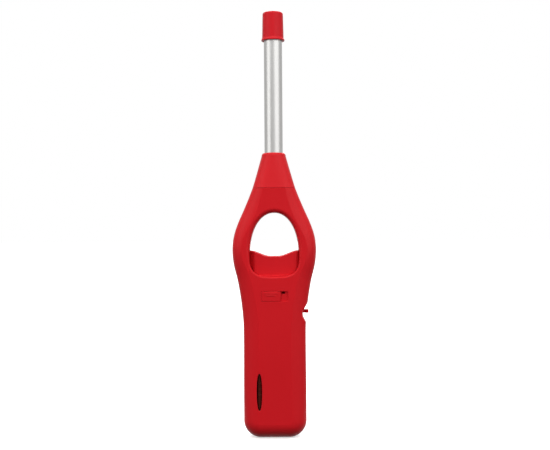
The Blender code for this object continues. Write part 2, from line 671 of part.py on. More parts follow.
def make_tank():
    outer = slab_bmesh("fuel_tank", tank_outline(0), TANK_HALF_DEPTH, 4.0, 4.5, TANK_RIM_Z)
    tank = add("fuel_tank", mesh_of("fuel_tank", outer), "smoked_plastic")
    inner_half = TANK_HALF_DEPTH - TANK_WALL
    inner = slab_bmesh("tank_hollow", tank_outline(TANK_WALL), inner_half, 2.5, 3.0, TANK_RIM_Z + 2)
    cut(
        tank,
        tool("tank_hollow", mesh_of("tank_hollow", inner)),
        tool("fill_hole", rod_mesh("fill_hole", 2.0, (0, 0, 0), (0, 0, 6), 24)),
    )

    def loop(sizes, z):
        return [(x, y, z) for x, y in rounded_section(*sizes, 4)]

    plug, flange = (12.4, 6.2, 2.4, 2.8), (14.0, 7.8, 3.8, 4.2)
    rim = TANK_RIM_Z + GAP
    loops = [loop(plug, 48), loop(plug, rim), loop(flange, rim), loop(flange, LID_TOP_Z)]
    lid = add("tank_lid", mesh_of("tank_lid", loft_mesh("tank_lid", loops)), "black_plastic")
    for side in (-1, 1):
        lug_y = tuple(sorted((side * 3.0, side * 4.2)))
        lug = box_mesh("lug", (PIVOT_X - 1.3, PIVOT_X + 1.3), lug_y, (52, PIVOT_Z + 1.4))
        join(lid, tool(f"pivot_lug_{side}", lug))
    eye = rod_mesh("lug_eye", 0.85, (PIVOT_X, -6, PIVOT_Z), (PIVOT_X, 6, PIVOT_Z), 16)
    bore = rod_mesh("valve_bore", VALVE_BODY_R + 0.1, (VALVE_X, 0, 46), (VALVE_X, 0, 61), 24)
    cut(lid, tool("lug_eye", eye), tool("valve_bore", bore))
    wick = add("fuel_wick", rod_mesh("fuel_wick", 1.1, (0, 0, 5.0), (0, 0, 46.4), 12), "white_plastic")
    wick.location.x = VALVE_X * MM


def make_fill_valve():
    turned(
        "fill_valve_body", "brass",
        [(1.9, 9.5), (1.9, 1.8), (2.6, 1.8), (2.6, 0.9), (0.8, 0.9), (0.8, 9.5)], segments=24, ring=True,
    )
    stem = [(0, 8.6), (0.65, 8.6), (0.65, 0.8), (0.45, 0.6), (0, 0.6)]
    turned("fill_valve_stem", "brass", stem, segments=16)


def make_valve():
    at = (VALVE_X, 0, 0)
    top = VALVE_BODY_TOP_Z
    turned(
        "valve_body", "brass",
        [
            (2.35, top), (VALVE_BODY_R, top - 0.3), (VALVE_BODY_R, 51.2), (1.85, 51.0), (1.85, 50.0),
            (VALVE_BODY_R - 0.15, 49.8), (VALVE_BODY_R - 0.15, 48.4), (1.6, 47.0), (0.4, 47.0),
            (0.4, 54.0), (1.6, 54.0), (1.6, 64.0), (1.0, 64.0), (1.0, top),
        ],
        at=at, segments=24, ring=True,
    )
    turned(
        "valve_stem", "brass",
        [
            (0, STEM_TIP_Z), (0.45, STEM_TIP_Z), (0.6, STEM_TIP_Z - 0.3), (0.6, 71.9), (1.7, 71.9),
            (1.7, 71.3), (0.9, 71.3), (0.9, 58.3), (1.4, 58.3), (1.4, 54.3), (0, 54.3),
        ],
        at=at, segments=20,
    )
    spring("valve_spring", VALVE_X, 1.22, 0.16, 58.6, 63.7, 5)
    angles = [-math.tau * i / 8 for i in range(8)]
    seal = [(2.3 + 0.36 * math.cos(a), 50.5 + 0.36 * math.sin(a)) for a in angles]
    turned("valve_seal", "rubber", seal, at=at, segments=24, ring=True)


def make_flame_adjuster():
    low, high = LEVER_Z - LEVER_THICKNESS / 2, LEVER_Z + LEVER_THICKNESS / 2
    bore = VALVE_BODY_R + 0.1
    ring = turned(
        "flame_adjuster", "red_trigger", [(4.2, high), (4.2, low), (bore, low), (bore, high)],
        at=(VALVE_X, 0, 0), segments=24, ring=True,
    )
    reach = LEVER_TIP_X - VALVE_X
    blade = box_mesh("blade", (3.6, reach), (-0.9, 0.9), (low, high))
    tip = box_mesh("tip", (reach - 1.4, reach), (-1.8, 1.8), (low, high))
    join(
        ring,
        tool("lever_blade", blade, at=(VALVE_X, 0, 0)),
        tool("lever_tip", tip, at=(VALVE_X, 0, 0)),
    )


def make_gas_lever():
    thick = 0.4
    bar = box_mesh("gas_lever", (-0.5 - PIVOT_X, 9.0 - PIVOT_X), (-2.4, 2.4), (-thick, thick))
    lever = add("gas_lever", bar, "spring_steel", at=(PIVOT_X, 0, PIVOT_Z))
    hub = rod_mesh("lever_hub", 1.25, (PIVOT_X, -2.7, PIVOT_Z), (PIVOT_X, 2.7, PIVOT_Z), 16)
    eye = rod_mesh("lever_eye", 0.85, (PIVOT_X, -4, PIVOT_Z), (PIVOT_X, 4, PIVOT_Z), 16)
    join(lever, tool("lever_hub", hub))
    cut(
        lever,
        tool("lever_eye", eye),
        tool("lever_fork", box_mesh("lever_fork", (5.5, 12), (-1.2, 1.2), (68, 73))),
    )
    pin = rod_mesh("gas_lever_pin", 0.75, (0, -4.6, 0), (0, 4.6, 0), 16)
    add("gas_lever_pin", pin, "spring_steel", at=(PIVOT_X, 0, PIVOT_Z))


# ---------------------------------------------------------------- hose and wires
def make_gas_hose():
    route = [
        (6.8, 0, 73.1), (6.8, 0, 75.6), (7.3, 0, 77.2), (8.7, 0, 78.5), (10.9, 0, 79.0), (13.1, 0, 79.7),
        (14.9, 0, 81.7), (16.0, 0, 85.3), (17.0, 0, 91), (17.5, 0, 97), (17.5, 0, 103.5), (16.2, 0, 110),
        (13.4, 0, 116.8), (9.8, 0, 122.6), (6.4, 0, 127.6), (4.0, 0, 131.6), (2.4, 0, 135.6),
        (1.2, 0, 139.6), (0.3, 0, 143.4), (0, 0, 147.1),
    ]
    hose = solid_wire("gas_hose", "white_plastic", route, 1.3, 3.2, resolution=1)
    cut(hose, tool("hose_mouth", rod_mesh("hose_mouth", 0.8, (6.8, 0, 72), (6.8, 0, 75.5), 12)))


def make_wires():
    spark = [
        (-9.8, 0, 62.0), (-11.4, 0, 62.4), (-12.6, 0, 64.4), (-13.1, 0, 69), (-13.8, 0, 75), (-15.0, 0, 81),
        (-16.6, 0, 88), (-17.5, 0, 96), (-17.5, 0, 103.5), (-16.2, 0, 110), (-13.4, 0, 116.8),
        (-9.8, 0, 122.6), (-6.4, 0, 127.6), (-4.2, 0, 131.6), (-3.0, 0, 135.6), (-2.7, 0, 140),
        (-2.7, 0, 172), (-2.7, 0, 205.5),
    ]
    ground = [
        (-9.8, 2.4, 66.0), (-11.4, 2.4, 66.4), (-12.6, 2.4, 68.4), (-13.6, 2.4, 74), (-14.9, 2.6, 81),
        (-16.4, 2.8, 88), (-17.2, 2.8, 96), (-17.2, 2.8, 103.5), (-15.9, 2.8, 110), (-13.2, 2.6, 116.8),
        (-9.6, 2.6, 122.6), (-6.6, 2.6, 127.6), (-5.4, 2.6, 132), (-5.2, 2.6, 136.0),
    ]
    add("ignition_wire", wire_curve("ignition_wire", smooth_route(spark, 4.5), 0.55, 1), "wire_sleeve")
    add("ground_wire", wire_curve("ground_wire", smooth_route(ground, 4.5), 0.5, 1), "wire_sleeve")


# ---------------------------------------------------------------- piezo igniter
def make_piezo():
    wide, deep = PIEZO_HALF_WIDTH, PIEZO_HALF_DEPTH
    at = (PIEZO_X, 0, 0)
    block = box_mesh("piezo_case", (-wide, wide), (-deep, deep), (PIEZO_FOOT_Z, PIEZO_TOP_Z))
    case = add("piezo_case", block, "black_plastic", at)
    slide_x, slide_y = PLUNGER_HALF_WIDTH + 0.2, PLUNGER_HALF_DEPTH + 0.2
    cavity = box_mesh("piezo_cavity", (-slide_x, slide_x), (-slide_y, slide_y), (PIEZO_FLOOR_Z, 80))
    cut(
        case,
        tool("piezo_cavity", cavity, at),
        tool("crystal_bore", rod_mesh("crystal_bore", 1.9, (0, 0, 54.3), (0, 0, 64), 20), at),
    )
    crystal = [(0, 58.8), (1.6, 58.8), (1.6, 54.6), (0, 54.6)]
    anvil = [(0, 60.6), (0.9, 60.6), (1.6, 60.2), (1.6, 59.1), (0, 59.1)]
    hammer = [(0, 72), (1.5, 72), (1.5, 68.2), (0.9, 67.5), (0, 67.5)]
    turned("piezo_crystal", "ceramic", crystal, at=at, segments=16)
    turned("piezo_anvil", "spring_steel", anvil, at=at, segments=16)
    turned("piezo_hammer", "spring_steel", hammer, at=at, segments=16)
    wide, deep = PLUNGER_HALF_WIDTH, PLUNGER_HALF_DEPTH
    body = box_mesh("piezo_plunger", (-wide, wide), (-deep, deep), (PLUNGER_FOOT_Z, PLUNGER_TOP_Z))
    plunger = add("piezo_plunger", body, "white_plastic", at)
    cut(plunger, tool("plunger_bore", rod_mesh("plunger_bore", 1.8, (0, 0, 69), (0, 0, 83.5), 20), at))
    spring("impact_spring", PIEZO_X, 1.3, 0.2, 72.3, 83.2, 6)
    spring("piezo_return_spring", PIEZO_X, 2.1, 0.22, 61.3, 70.2, 5)


clear_scene()
PARTS = make_collection("Gas torch")
TOOLS = make_collection("Cutters and joined bosses")
ORIGIN = bpy.data.objects.new("torch_origin", None)
PARTS.objects.link(ORIGIN)
make_front_shell()
make_rear_shell()
make_screws()
make_nose_cone()
make_wand()
make_cap()
make_trigger()
make_safety_slide()
make_tank()
make_fill_valve()
make_valve()
make_flame_adjuster()
make_gas_lever()
make_gas_hose()
make_wires()
make_piezo()
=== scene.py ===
"""Looks for the finger-ring gas torch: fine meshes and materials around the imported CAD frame."""

import json
import math

import bmesh
import bpy
from mathutils import Matrix, Vector

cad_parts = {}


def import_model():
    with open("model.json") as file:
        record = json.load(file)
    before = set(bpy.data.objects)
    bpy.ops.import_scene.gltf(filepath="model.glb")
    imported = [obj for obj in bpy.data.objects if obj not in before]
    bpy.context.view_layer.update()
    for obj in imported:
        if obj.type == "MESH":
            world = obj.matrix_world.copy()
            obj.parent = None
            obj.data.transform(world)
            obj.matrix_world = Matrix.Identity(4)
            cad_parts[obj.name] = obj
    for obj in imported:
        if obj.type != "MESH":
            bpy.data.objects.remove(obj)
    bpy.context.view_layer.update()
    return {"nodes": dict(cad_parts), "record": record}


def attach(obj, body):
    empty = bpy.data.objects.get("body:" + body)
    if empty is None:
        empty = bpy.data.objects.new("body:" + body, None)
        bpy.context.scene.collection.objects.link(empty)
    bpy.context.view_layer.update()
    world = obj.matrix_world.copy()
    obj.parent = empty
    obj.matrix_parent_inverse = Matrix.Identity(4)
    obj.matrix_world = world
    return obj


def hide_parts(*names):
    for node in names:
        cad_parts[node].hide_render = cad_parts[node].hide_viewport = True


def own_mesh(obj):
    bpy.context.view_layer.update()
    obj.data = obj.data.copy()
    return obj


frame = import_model()
NODES = frame["nodes"]
MM = 0.001

# ---------------------------------------------------------------- sizes, in millimetres
# They are the CAD's own, or within 1 mm of them where the photo asked for it. A table holds (height, value)
# pairs. EDGE_ACROSS and EDGE_BACK are how far the rounding of the housing's edge reaches in and back, and
# EDGE_SWEEP is the angle that it turns through, in degrees.
HALF_WIDTH = [
    (9.8, 16.74), (30, 16.68), (52, 16.6), (62, 16.78), (73, 17.82), (84, 19.6), (93, 21.75),
    (101, 22.4), (107.7, 21.56), (114, 19.55), (122, 16.05), (128, 13.5), (133.5, 11.34), (140, 8.6),
]
HALF_DEPTH = [
    (-60, 10.2), (0, 10.2), (30, 10.2), (56, 10.2), (72, 10.05), (86, 9.82), (100, 9.6), (116, 9.42),
    (133.5, 9.2), (150, 9.0),
]
BASE_CORNER_R = 9.3
EDGE_ACROSS = [
    (0, 8.0), (60, 8.0), (84, 7.0), (98, 5.0), (107, 5.3), (114, 6.2), (124, 6.6), (133.5, 5.5), (141, 4.2),
    (150, 4.2),
]
EDGE_BACK = [(0, 8.2), (10, 7.6), (24, 6.2), (40, 6.0), (150, 6.0)]
EDGE_SWEEP = [(0, 88), (12, 86), (28, 71), (78, 71), (104, 76), (124, 73), (150, 73)]
WALL, GAP, SEAM_Z = 1.6, 0.07, 133.3
PART_FLUSH, PART_LIP = 0.05, 0.25
RING_Z, RING_HALF_WIDTH = 98.0, 13.16
RING_UP, RING_UP_POWER, RING_DOWN, RING_DOWN_POWER = 22.2, 2.1, 11.9, 3.2
RING_FILLETS = [(85, 0.8), (93, 1.0), (103, 2.1), (121, 2.4)]
GUIDE_HALF_WIDTH, GUIDE_END_Z, BAY_HALF_DEPTH, BAY_Z = 13.6, 91.0, 7.3, (80, 100.4)
CONE_TOP_Z, CONE_LIP, CONE_TOP_R = 152.3, 1.8, 6.54
SKIRT_LENGTH, SKIRT_WALL = 5.0, 1.2
TUBE_R, TUBE_BORE_R, TUBE_FOOT_Z, TUBE_TOP_Z = 4.9, 4.5, 138.8, 226.0
FLANGE_R, FLANGE_THICKNESS = 5.8, 0.7
AIR_HOLE_Z, AIR_HOLE_R = 218.0, 1.2
CAP_TOP_Z, CAP_MOUTH_Z, CAP_WALL = 228.0, 212.6, 1.2
TRIGGER_HALF_WIDTH, TRIGGER_HALF_DEPTH, TRIGGER_SKIRT_Z, TRIGGER_WALL = 13.25, 7.0, 84.4, 1.5
SADDLE_Z, SADDLE_RISE = 96.9, 3.0
SLIDE_X, SLIDE_Z, SLIDE_FACE_Y, SLIDE_BACK_Y = (-7.0, 3.2), (73.2, 78.5), -9.8, -9.34
RECESS_X, RECESS_Z, RECESS_FLOOR_Y = (-7.1, 7.2), (73.1, 78.6), -9.3
RECESS_BACKING = ((-9.37, 9.13), (-8.83, -7.42), (70.27, 79.83))
STEM_SLOT_X, STEM_SLOT_Z = (-5.0, 2.6), (75.7, 77.9)
SLIDE_HOLE_X, SLIDE_HOLE_Z = (3.7, 5.6), (77.15, 78.15)
SLIDE_GROOVE = ((3.3, 3.75), (-10.5, -8.9), (73.9, 77.6))
WINDOW_X, WINDOW_Z, WINDOW_HALF_WIDTH, WINDOW_HALF_HEIGHT = -8.35, 25.1, 1.4, 9.8
LEVER_Z, LEVER_THICKNESS, LEVER_TIP_X, VALVE_X = 67.25, 1.8, 18.2, 6.8
LEVER_RING_R, LEVER_RING_BORE_R, LEVER_TEETH = 4.2, 2.75, 26
LEVER_SLOT_X, LEVER_SLOT_HALF_DEPTH, LEVER_SLOT_HALF_HEIGHT = (12.5, 19), 5.2, 1.3
NOTCH_BACKING_X, NOTCH_BACKING_DEPTHS, NOTCH_BACKING_Z = (13.2, 15.6), (0.3, 7.2), (61, 74)
SCREWS = [(0.0, 125.2), (-11.9, 56.2), (11.9, 56.2)]
SCREW_LENGTH, SCREW_HEAD, SCREW_TIP_Y, SCREW_HOLE_END_Y, SCREW_SEAT_Y = 12.9, 1.3, -5.8, -6.4, 7.0
SCREW_CORE_R, SCREW_HOLE_R, SCREW_SINK_R, BOSS_R = 0.96, 1.15, 1.75, 2.2
CLEAR = 1.0  # how far a cutter runs on past what it cuts


# ---------------------------------------------------------------- mesh helpers
def mesh_of(name, bm):
    """A mesh in metres from one in millimetres, smooth-shaded but for its sharp edges."""
    bmesh.ops.scale(bm, vec=(MM, MM, MM), verts=bm.verts)
    mesh = bpy.data.meshes.new(name)
    bm.to_mesh(mesh)
    bm.free()
    mesh.shade_smooth()
    mesh.set_sharp_from_angle(angle=math.radians(30))
    return mesh


def new_object(name, mesh):
    obj = bpy.data.objects.new(name, mesh)
    bpy.context.scene.collection.objects.link(obj)
    return obj


def solid(name, bm):
    return new_object(name, mesh_of(name, bm))


def loft(loops, flip=False, ring=False):
    """Skins a stack of loops and caps its ends; a ring joins the last loop back to the first instead."""
    bm = bmesh.new()
    rows = [[bm.verts.new(point) for point in loop] for loop in loops]
    count = len(rows[0])
    for low, high in zip(rows, rows[1:] + ([rows[0]] if ring else [])):
        for i in range(count):
            j = (i + 1) % count
            bm.faces.new((low[i], low[j], high[j], high[i]))
    if not ring:
        bm.faces.new(list(reversed(rows[0])))
        bm.faces.new(rows[-1])
    if flip:
        bmesh.ops.reverse_faces(bm, faces=bm.faces)
    return bm


def cut_level(bm, top):
    """Cuts everything above a height away and closes the cut."""
    everything = [*bm.verts, *bm.edges, *bm.faces]
    cut = bmesh.ops.bisect_plane(
        bm, geom=everything, plane_co=(0, 0, top), plane_no=(0, 0, 1), clear_outer=True,
    )
    rim = [edge for edge in cut["geom_cut"] if isinstance(edge, bmesh.types.BMEdge)]
    bmesh.ops.contextual_create(bm, geom=rim)
    bmesh.ops.recalc_face_normals(bm, faces=bm.faces)
    return bm


def turned(profile, segments=96, ring=False):
    """A body of revolution about the z axis, from (radius, height) points running down its outer side. A ring
    joins the last point back to the first."""
    bm = bmesh.new()
    rows = []
    for radius, height in profile:
        if radius < 1e-6:
            rows.append([bm.verts.new((0, 0, height))])
            continue
        angles = [math.tau * i / segments for i in range(segments)]
        rows.append([bm.verts.new((radius * math.cos(a), radius * math.sin(a), height)) for a in angles])
    pairs = list(zip(rows, rows[1:]))
    if ring:
        pairs.append((rows[-1], rows[0]))
    for upper, lower in pairs:
        for i in range(segments):
            j = (i + 1) % segments
            corners = [row[k % len(row)] for row, k in ((lower, i), (lower, j), (upper, j), (upper, i))]
            unique = [corner for k, corner in enumerate(corners) if corner not in corners[:k]]
            if len(unique) > 2:
                bm.faces.new(unique)
    return bm


def rounded(profile, radius, steps=4):
    """Rounds all the corners of an open chain of points but its two ends."""
    points = [Vector(p) for p in profile]
    made = [points[0]]
    for before, corner, after in zip(points, points[1:], points[2:]):
        back, on = before - corner, after - corner
        reach = min(radius, back.length * 0.45, on.length * 0.45)
        start = corner + back.normalized() * reach
        end = corner + on.normalized() * reach
        for i in range(steps + 1):
            t = i / steps
            made.append((1 - t) ** 2 * start + 2 * t * (1 - t) * corner + t**2 * end)
    return [tuple(p) for p in made + [points[-1]]]


def box(x, y, z):
    """A block between the (low, high) places along each axis."""
    bm = bmesh.new()
    bmesh.ops.create_cube(bm, size=1.0)
    spans = (x, y, z)
    bmesh.ops.scale(bm, vec=[high - low for low, high in spans], verts=bm.verts)
    bmesh.ops.translate(bm, vec=[(low + high) / 2 for low, high in spans], verts=bm.verts)
    return bm


def rod(radius, start, end, segments=48):
    """A round bar, turned a little about itself so that its edges miss those of the mesh it meets."""
    start, end = Vector(start), Vector(end)
    along = end - start
    turn = along.to_track_quat("Z", "X").to_matrix().to_4x4() @ Matrix.Rotation(0.11, 4, "Z")
    place = Matrix.Translation((start + end) / 2) @ turn
    bm = bmesh.new()
    bmesh.ops.create_cone(
        bm, cap_ends=True, segments=segments, radius1=radius, radius2=radius, depth=along.length,
        matrix=place,
    )
    return bm


def bake(obj):
    """Applies an object's modifiers to its mesh."""
    graph = bpy.context.evaluated_depsgraph_get()
    mesh = bpy.data.meshes.new_from_object(obj.evaluated_get(graph))
    obj.modifiers.clear()
    obj.data = mesh


def boolean(obj, bm, operation="DIFFERENCE"):
    other = solid("cutter", bm)
    modifier = obj.modifiers.new("Boolean", "BOOLEAN")
    modifier.operation = operation
    modifier.solver = "EXACT"
    modifier.object = other
    bake(obj)
    bpy.data.objects.remove(other)


def finish_mesh(obj, smooth=28):
    """Cleans slivers and closes pinholes, and shades so that flat faces stay flat right up to the curves
    beside them. Edges that turn by more than the smooth angle, in degrees, are sharp."""
    flat_tilt, slight_turn = 0.9993, math.radians(3.5)
    bm = bmesh.new()
    bm.from_mesh(obj.data)
    bmesh.ops.remove_doubles(bm, verts=bm.verts, dist=2e-7)
    bmesh.ops.holes_fill(bm, edges=[edge for edge in bm.edges if edge.is_boundary], sides=6)
    for edge in bm.edges:
        tilts = [abs(face.normal.y) for face in edge.link_faces]
        beside_flat = max(tilts) > flat_tilt > min(tilts)
        turn = edge.calc_face_angle(0)
        edge.smooth = turn < math.radians(smooth) and not (beside_flat and turn > slight_turn)
    for face in bm.faces:
        face.smooth = True
    bm.to_mesh(obj.data)
    bm.free()
    modifier = obj.modifiers.new("Shading", "WEIGHTED_NORMAL")
    modifier.keep_sharp = True
    modifier.weight = 60
    return obj


def piece(name, obj, body, look, node):
    """Names an object, gives it its looks, and puts it on its body in the place of a CAD node."""
    obj.name = name
    obj.data.materials.clear()
    obj.data.materials.append(look)
    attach(obj, body)
    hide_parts(node)
    return obj


# ---------------------------------------------------------------- curves of the housing
def interpolate(table, at):
    """A smooth curve through a table's points, held level past its ends."""
    last = len(table) - 1
    at = min(max(at, table[0][0]), table[last][0])
    k = next(i for i in range(last) if at <= table[i + 1][0])

    def slope(i):
        low, high = max(i - 1, 0), min(i + 1, last)
        return (table[high][1] - table[low][1]) / (table[high][0] - table[low][0])

    (x0, y0), (x1, y1) = table[k], table[k + 1]
    span = x1 - x0
    t = (at - x0) / span
    return (
        (2 * t**3 - 3 * t**2 + 1) * y0 + (t**3 - 2 * t**2 + t) * span * slope(k)
        + (3 * t**2 - 2 * t**3) * y1 + (t**3 - t**2) * span * slope(k + 1)
    )


def half_width(z):
    return interpolate(HALF_WIDTH, z)


def half_depth(z):
    return interpolate(HALF_DEPTH, z)


def edge_point(z, wall, t):
    """(distance in from the outline, distance behind the face) at a share of the way round the housing's
    edge, from the side to the face. A sweep under a right angle leaves a faint crease where the rounding
    meets the face."""
    across, back = interpolate(EDGE_ACROSS, z), interpolate(EDGE_BACK, z)
    sweep = math.radians(interpolate(EDGE_SWEEP, z))
    share_in = (1 - math.cos(sweep * t)) / (1 - math.cos(sweep))
    share_back = 1 - math.sin(sweep * t) / math.sin(sweep)
    return wall + share_in * (across - wall), wall + share_back * (back - wall)


def inset(outline, distance):
    """Moves every point in along its normal, by one distance or by one for each point."""
    distances = distance if isinstance(distance, list) else [distance] * len(outline)
    moved = []
    for i, ((x, z), d) in enumerate(zip(outline, distances)):
        (x0, z0), (x1, z1) = outline[i - 1], outline[(i + 1) % len(outline)]
        length = math.hypot(x1 - x0, z1 - z0)
        moved.append((x - (z1 - z0) / length * d, z + (x1 - x0) / length * d))
    return moved


def edge_curve(across, back, steps):
    """(distance in from the edge, distance behind the face), from the side to the face."""
    angles = [math.pi / 2 * i / steps for i in range(steps + 1)]
    return [(across * (1 - math.cos(a)), back * (1 - math.sin(a))) for a in angles]


def body_outline(wall=0.0, t=0.0):
    """The housing from the front as (x, z, distance behind the face) points: a wall's thickness inside its
    skin, and a share of the way round its edge. It runs on past the seam, where the shell is cut."""
    flat = half_width(BASE_CORNER_R) - BASE_CORNER_R
    base_in, base_behind = edge_point(0, wall, t)
    corner = BASE_CORNER_R - base_in
    base_steps, corner_steps, side_steps, top_steps, top = 5, 20, 160, 20, SEAM_Z + 13
    right = [(flat * (i + 0.5) / base_steps, base_in, base_behind) for i in range(base_steps)]
    for i in range(corner_steps + 1):
        angle = math.pi / 2 * i / corner_steps
        height = BASE_CORNER_R * (1 - math.cos(angle))
        x, z = flat + corner * math.sin(angle), BASE_CORNER_R - corner * math.cos(angle)
        right.append((x, z, edge_point(height, wall, t)[1]))
    for i in range(1, side_steps + 1):
        z = BASE_CORNER_R + (top - BASE_CORNER_R) * i / side_steps
        slope = (half_width(z + 0.1) - half_width(z - 0.1)) / 0.2
        inward, behind = edge_point(z, wall, t)
        d = inward / math.hypot(1, slope)
        right.append((half_width(z) - d, z + d * slope, behind))
    ends, behind = right[-1][0], right[-1][2]
    right += [(ends * (1 - (i + 0.5) / top_steps), top, behind) for i in range(top_steps)]
    return right + [(-x, z, behind) for x, z, behind in reversed(right)]


def ring_point(x, z):
    """The place on the finger opening's rim, a superellipse, that faces a point."""
    across, up = x, z - RING_Z
    reach, power = (RING_UP, RING_UP_POWER) if up > 0 else (RING_DOWN, RING_DOWN_POWER)
    share = (abs(across / RING_HALF_WIDTH) ** power + abs(up / reach) ** power) ** (-1 / power)
    return across * share, RING_Z + up * share


def shell_body(side):
    """Half the housing as one closed skin: out from the part line, over the face, down through the ring's
    wall, and back along the inside."""
    ring = [ring_point(x, z) for x, z, behind in body_outline()]
    fillets = [interpolate(RING_FILLETS, z) for x, z in ring]

    def loop(points):
        return [(x, side * (half_depth(z) - behind), z) for x, z, behind in points]

    def at_depth(points, y):
        return [(point[0], side * y, point[1]) for point in points]

    def between(a, b, t):
        return [(p[0] + (q[0] - p[0]) * t, p[1] + (q[1] - p[1]) * t, 0) for p, q in zip(a, b)]

    def ring_loop(across, behind):
        moved = inset(ring, [-across * r for r in fillets])
        return loop([(x, z, behind * r) for (x, z), r in zip(moved, fillets)])

    lip, flush, eased = PART_LIP, PART_FLUSH, PART_LIP * 0.3
    edge_steps, face_steps, fillet_steps, inner_steps = 14, 9, 12, 6
    loops = [at_depth(body_outline(lip), flush), at_depth(body_outline(eased), flush + eased)]
    loops.append(at_depth(body_outline(), flush + lip))
    loops += [loop(body_outline(0, i / edge_steps)) for i in range(edge_steps + 1)]
    face_edge, ring_edge = body_outline(0, 1), inset(ring, [-r for r in fillets])
    loops += [loop(between(face_edge, ring_edge, i / face_steps)) for i in range(1, face_steps)]
    loops += [ring_loop(across, behind) for across, behind in reversed(edge_curve(1, 1, fillet_steps))]
    loops += [at_depth(ring, flush + lip), at_depth(inset(ring, -eased), flush + eased)]
    loops += [at_depth(inset(ring, -lip), flush), at_depth(inset(ring, -WALL), flush)]
    loops.append(loop([(x, z, WALL) for x, z in inset(ring, -WALL)]))
    loops += [loop(body_outline(WALL, i / inner_steps)) for i in range(inner_steps, -1, -1)]
    loops.append(at_depth(body_outline(WALL), flush))
    return cut_level(loft(loops, flip=side > 0, ring=True), SEAM_Z - GAP / 2)


def slot_outline(x, z, corner, steps=8):
    """A rectangle between (low, high) places, with round corners."""
    mid_x, mid_z = sum(x) / 2, sum(z) / 2
    half_x, half_z = (x[1] - x[0]) / 2, (z[1] - z[0]) / 2
    points = []
    for turn_x, turn_z in ((1, 1), (-1, 1), (-1, -1), (1, -1)):
        quarter = []
        for i in range(steps + 1):
            angle = math.pi / 2 * i / steps
            quarter.append((
                mid_x + turn_x * (half_x - corner + corner * math.cos(angle)),
                mid_z + turn_z * (half_z - corner + corner * math.sin(angle)),
            ))
        points += quarter if turn_x == turn_z else quarter[::-1]
    return points


def flared_cut(outline, floor, face, radius, side=-1, steps=5):
    """A cutter whose mouth opens into a rounded lip just past the face. Depths are from the middle."""
    face += 0.007  # just proud of the face, so that the lip's rim doesn't lie in it
    loops = [(0.0, floor), (0.0, face - radius)]
    for i in range(1, steps + 1):
        a = math.pi / 2 * i / steps
        loops.append((radius * (1 - math.cos(a)), face - radius + radius * math.sin(a)))
    loops.append((radius * 1.02, face + 4))
    rings = [[(x, side * depth, z) for x, z in inset(outline, -grow)] for grow, depth in loops]
    return loft(rings, flip=side > 0)


def long_oval(half_wide, half_high, x, z, steps=64, power=2.3):
    """An ellipse with slightly fuller ends."""
    def full(value):
        return math.copysign(abs(value) ** (2 / power), value)

    angles = [math.tau * (i + 0.5) / steps for i in range(steps)]
    return [(x + half_wide * full(math.cos(a)), z + half_high * full(math.sin(a))) for a in angles]


def smooth_line(line, steps):
    """A Catmull-Rom curve through an open line's points."""
    def between(p, q, r, s, t):
        square, cube = 2 * p - 5 * q + 4 * r - s, 3 * q - p - 3 * r + s
        return 0.5 * (2 * q + (r - p) * t + square * t**2 + cube * t**3)

    fine = []
    for around in zip([line[0], *line], line, line[1:], [*line[2:], line[-1]]):
        for i in range(steps):
            fine.append(tuple(between(*along_axis, i / steps) for along_axis in zip(*around)))
    return fine + [line[-1]]


def thumb_notch():
    """The scoop beside the flame lever: deepest at mid thickness, flaring out towards both faces."""
    outline = smooth_line([
        (21.5, 76.5), (19.4, 74.6), (18.2, 73.0), (17.1, 71.0), (16.0, 69.0), (15.4, 67.6), (15.15, 66.2),
        (15.3, 64.9), (15.9, 63.3), (16.7, 61.9), (17.6, 60.6), (21.5, 58.5),
    ], 5)
    middle, reach, plain_half_depth, flare_depth, flare = 66.2, 9.0, 3.0, 7.0, 1.3
    rings = []
    for y in range(-12, 13):
        grow = flare * (max(abs(y) - plain_half_depth, 0) / flare_depth) ** 2
        rings.append([
            (x - grow * max(1 - ((z - middle) / reach) ** 2, 0), y, z + 0.35 * grow * (z - middle) / 6)
            for x, z in outline
        ])
    bm = loft(rings)
    bmesh.ops.recalc_face_normals(bm, faces=bm.faces)
    return bm


def screw_boss(shell, side, x, z):
    """A post from near the part line to the skin: the upper one stands under the flat face, the lower two
    under its rounded edges."""
    start, end = 0.3, half_depth(z) - (WALL - 0.2 if x == 0 else 2.15)
    boolean(shell, rod(BOSS_R, (x, side * start, z), (x, side * end, z)), "UNION")


def cut_front(shell):
    """The window's slit, the safety slide's recess with its slots, and the screws' holes."""
    inside, face, floor, lip = 6, half_depth(76), -RECESS_FLOOR_Y, 0.12
    slit = long_oval(WINDOW_HALF_WIDTH, WINDOW_HALF_HEIGHT, WINDOW_X, WINDOW_Z)
    boolean(shell, flared_cut(slit, inside, half_depth(WINDOW_Z), 0.35))
    boolean(shell, flared_cut(slot_outline(RECESS_X, RECESS_Z, 1.0), floor, face, lip))
    boolean(shell, flared_cut(slot_outline(STEM_SLOT_X, STEM_SLOT_Z, 0.6), inside, floor, lip))
    boolean(shell, flared_cut(slot_outline(SLIDE_HOLE_X, SLIDE_HOLE_Z, 0.48), inside, floor, lip))
    boolean(shell, box(*SLIDE_GROOVE))
    for x, z in SCREWS:
        boolean(shell, rod(SCREW_CORE_R, (x, CLEAR, z), (x, SCREW_HOLE_END_Y, z), 24))


def cut_rear(shell):
    """The sinks for the screws' heads, and their holes."""
    for x, z in SCREWS:
        across, up = (x - SCREW_SINK_R, x + SCREW_SINK_R), (z - SCREW_SINK_R, z + SCREW_SINK_R)
        sink = slot_outline(across, up, SCREW_SINK_R - 0.0001, 10)
        surface = half_depth(z) - (0 if x == 0 else 0.05)
        boolean(shell, flared_cut(sink, SCREW_SEAT_Y, surface, 0.25, side=1))
        boolean(shell, rod(SCREW_HOLE_R, (x, -CLEAR, z), (x, 9, z), 36))


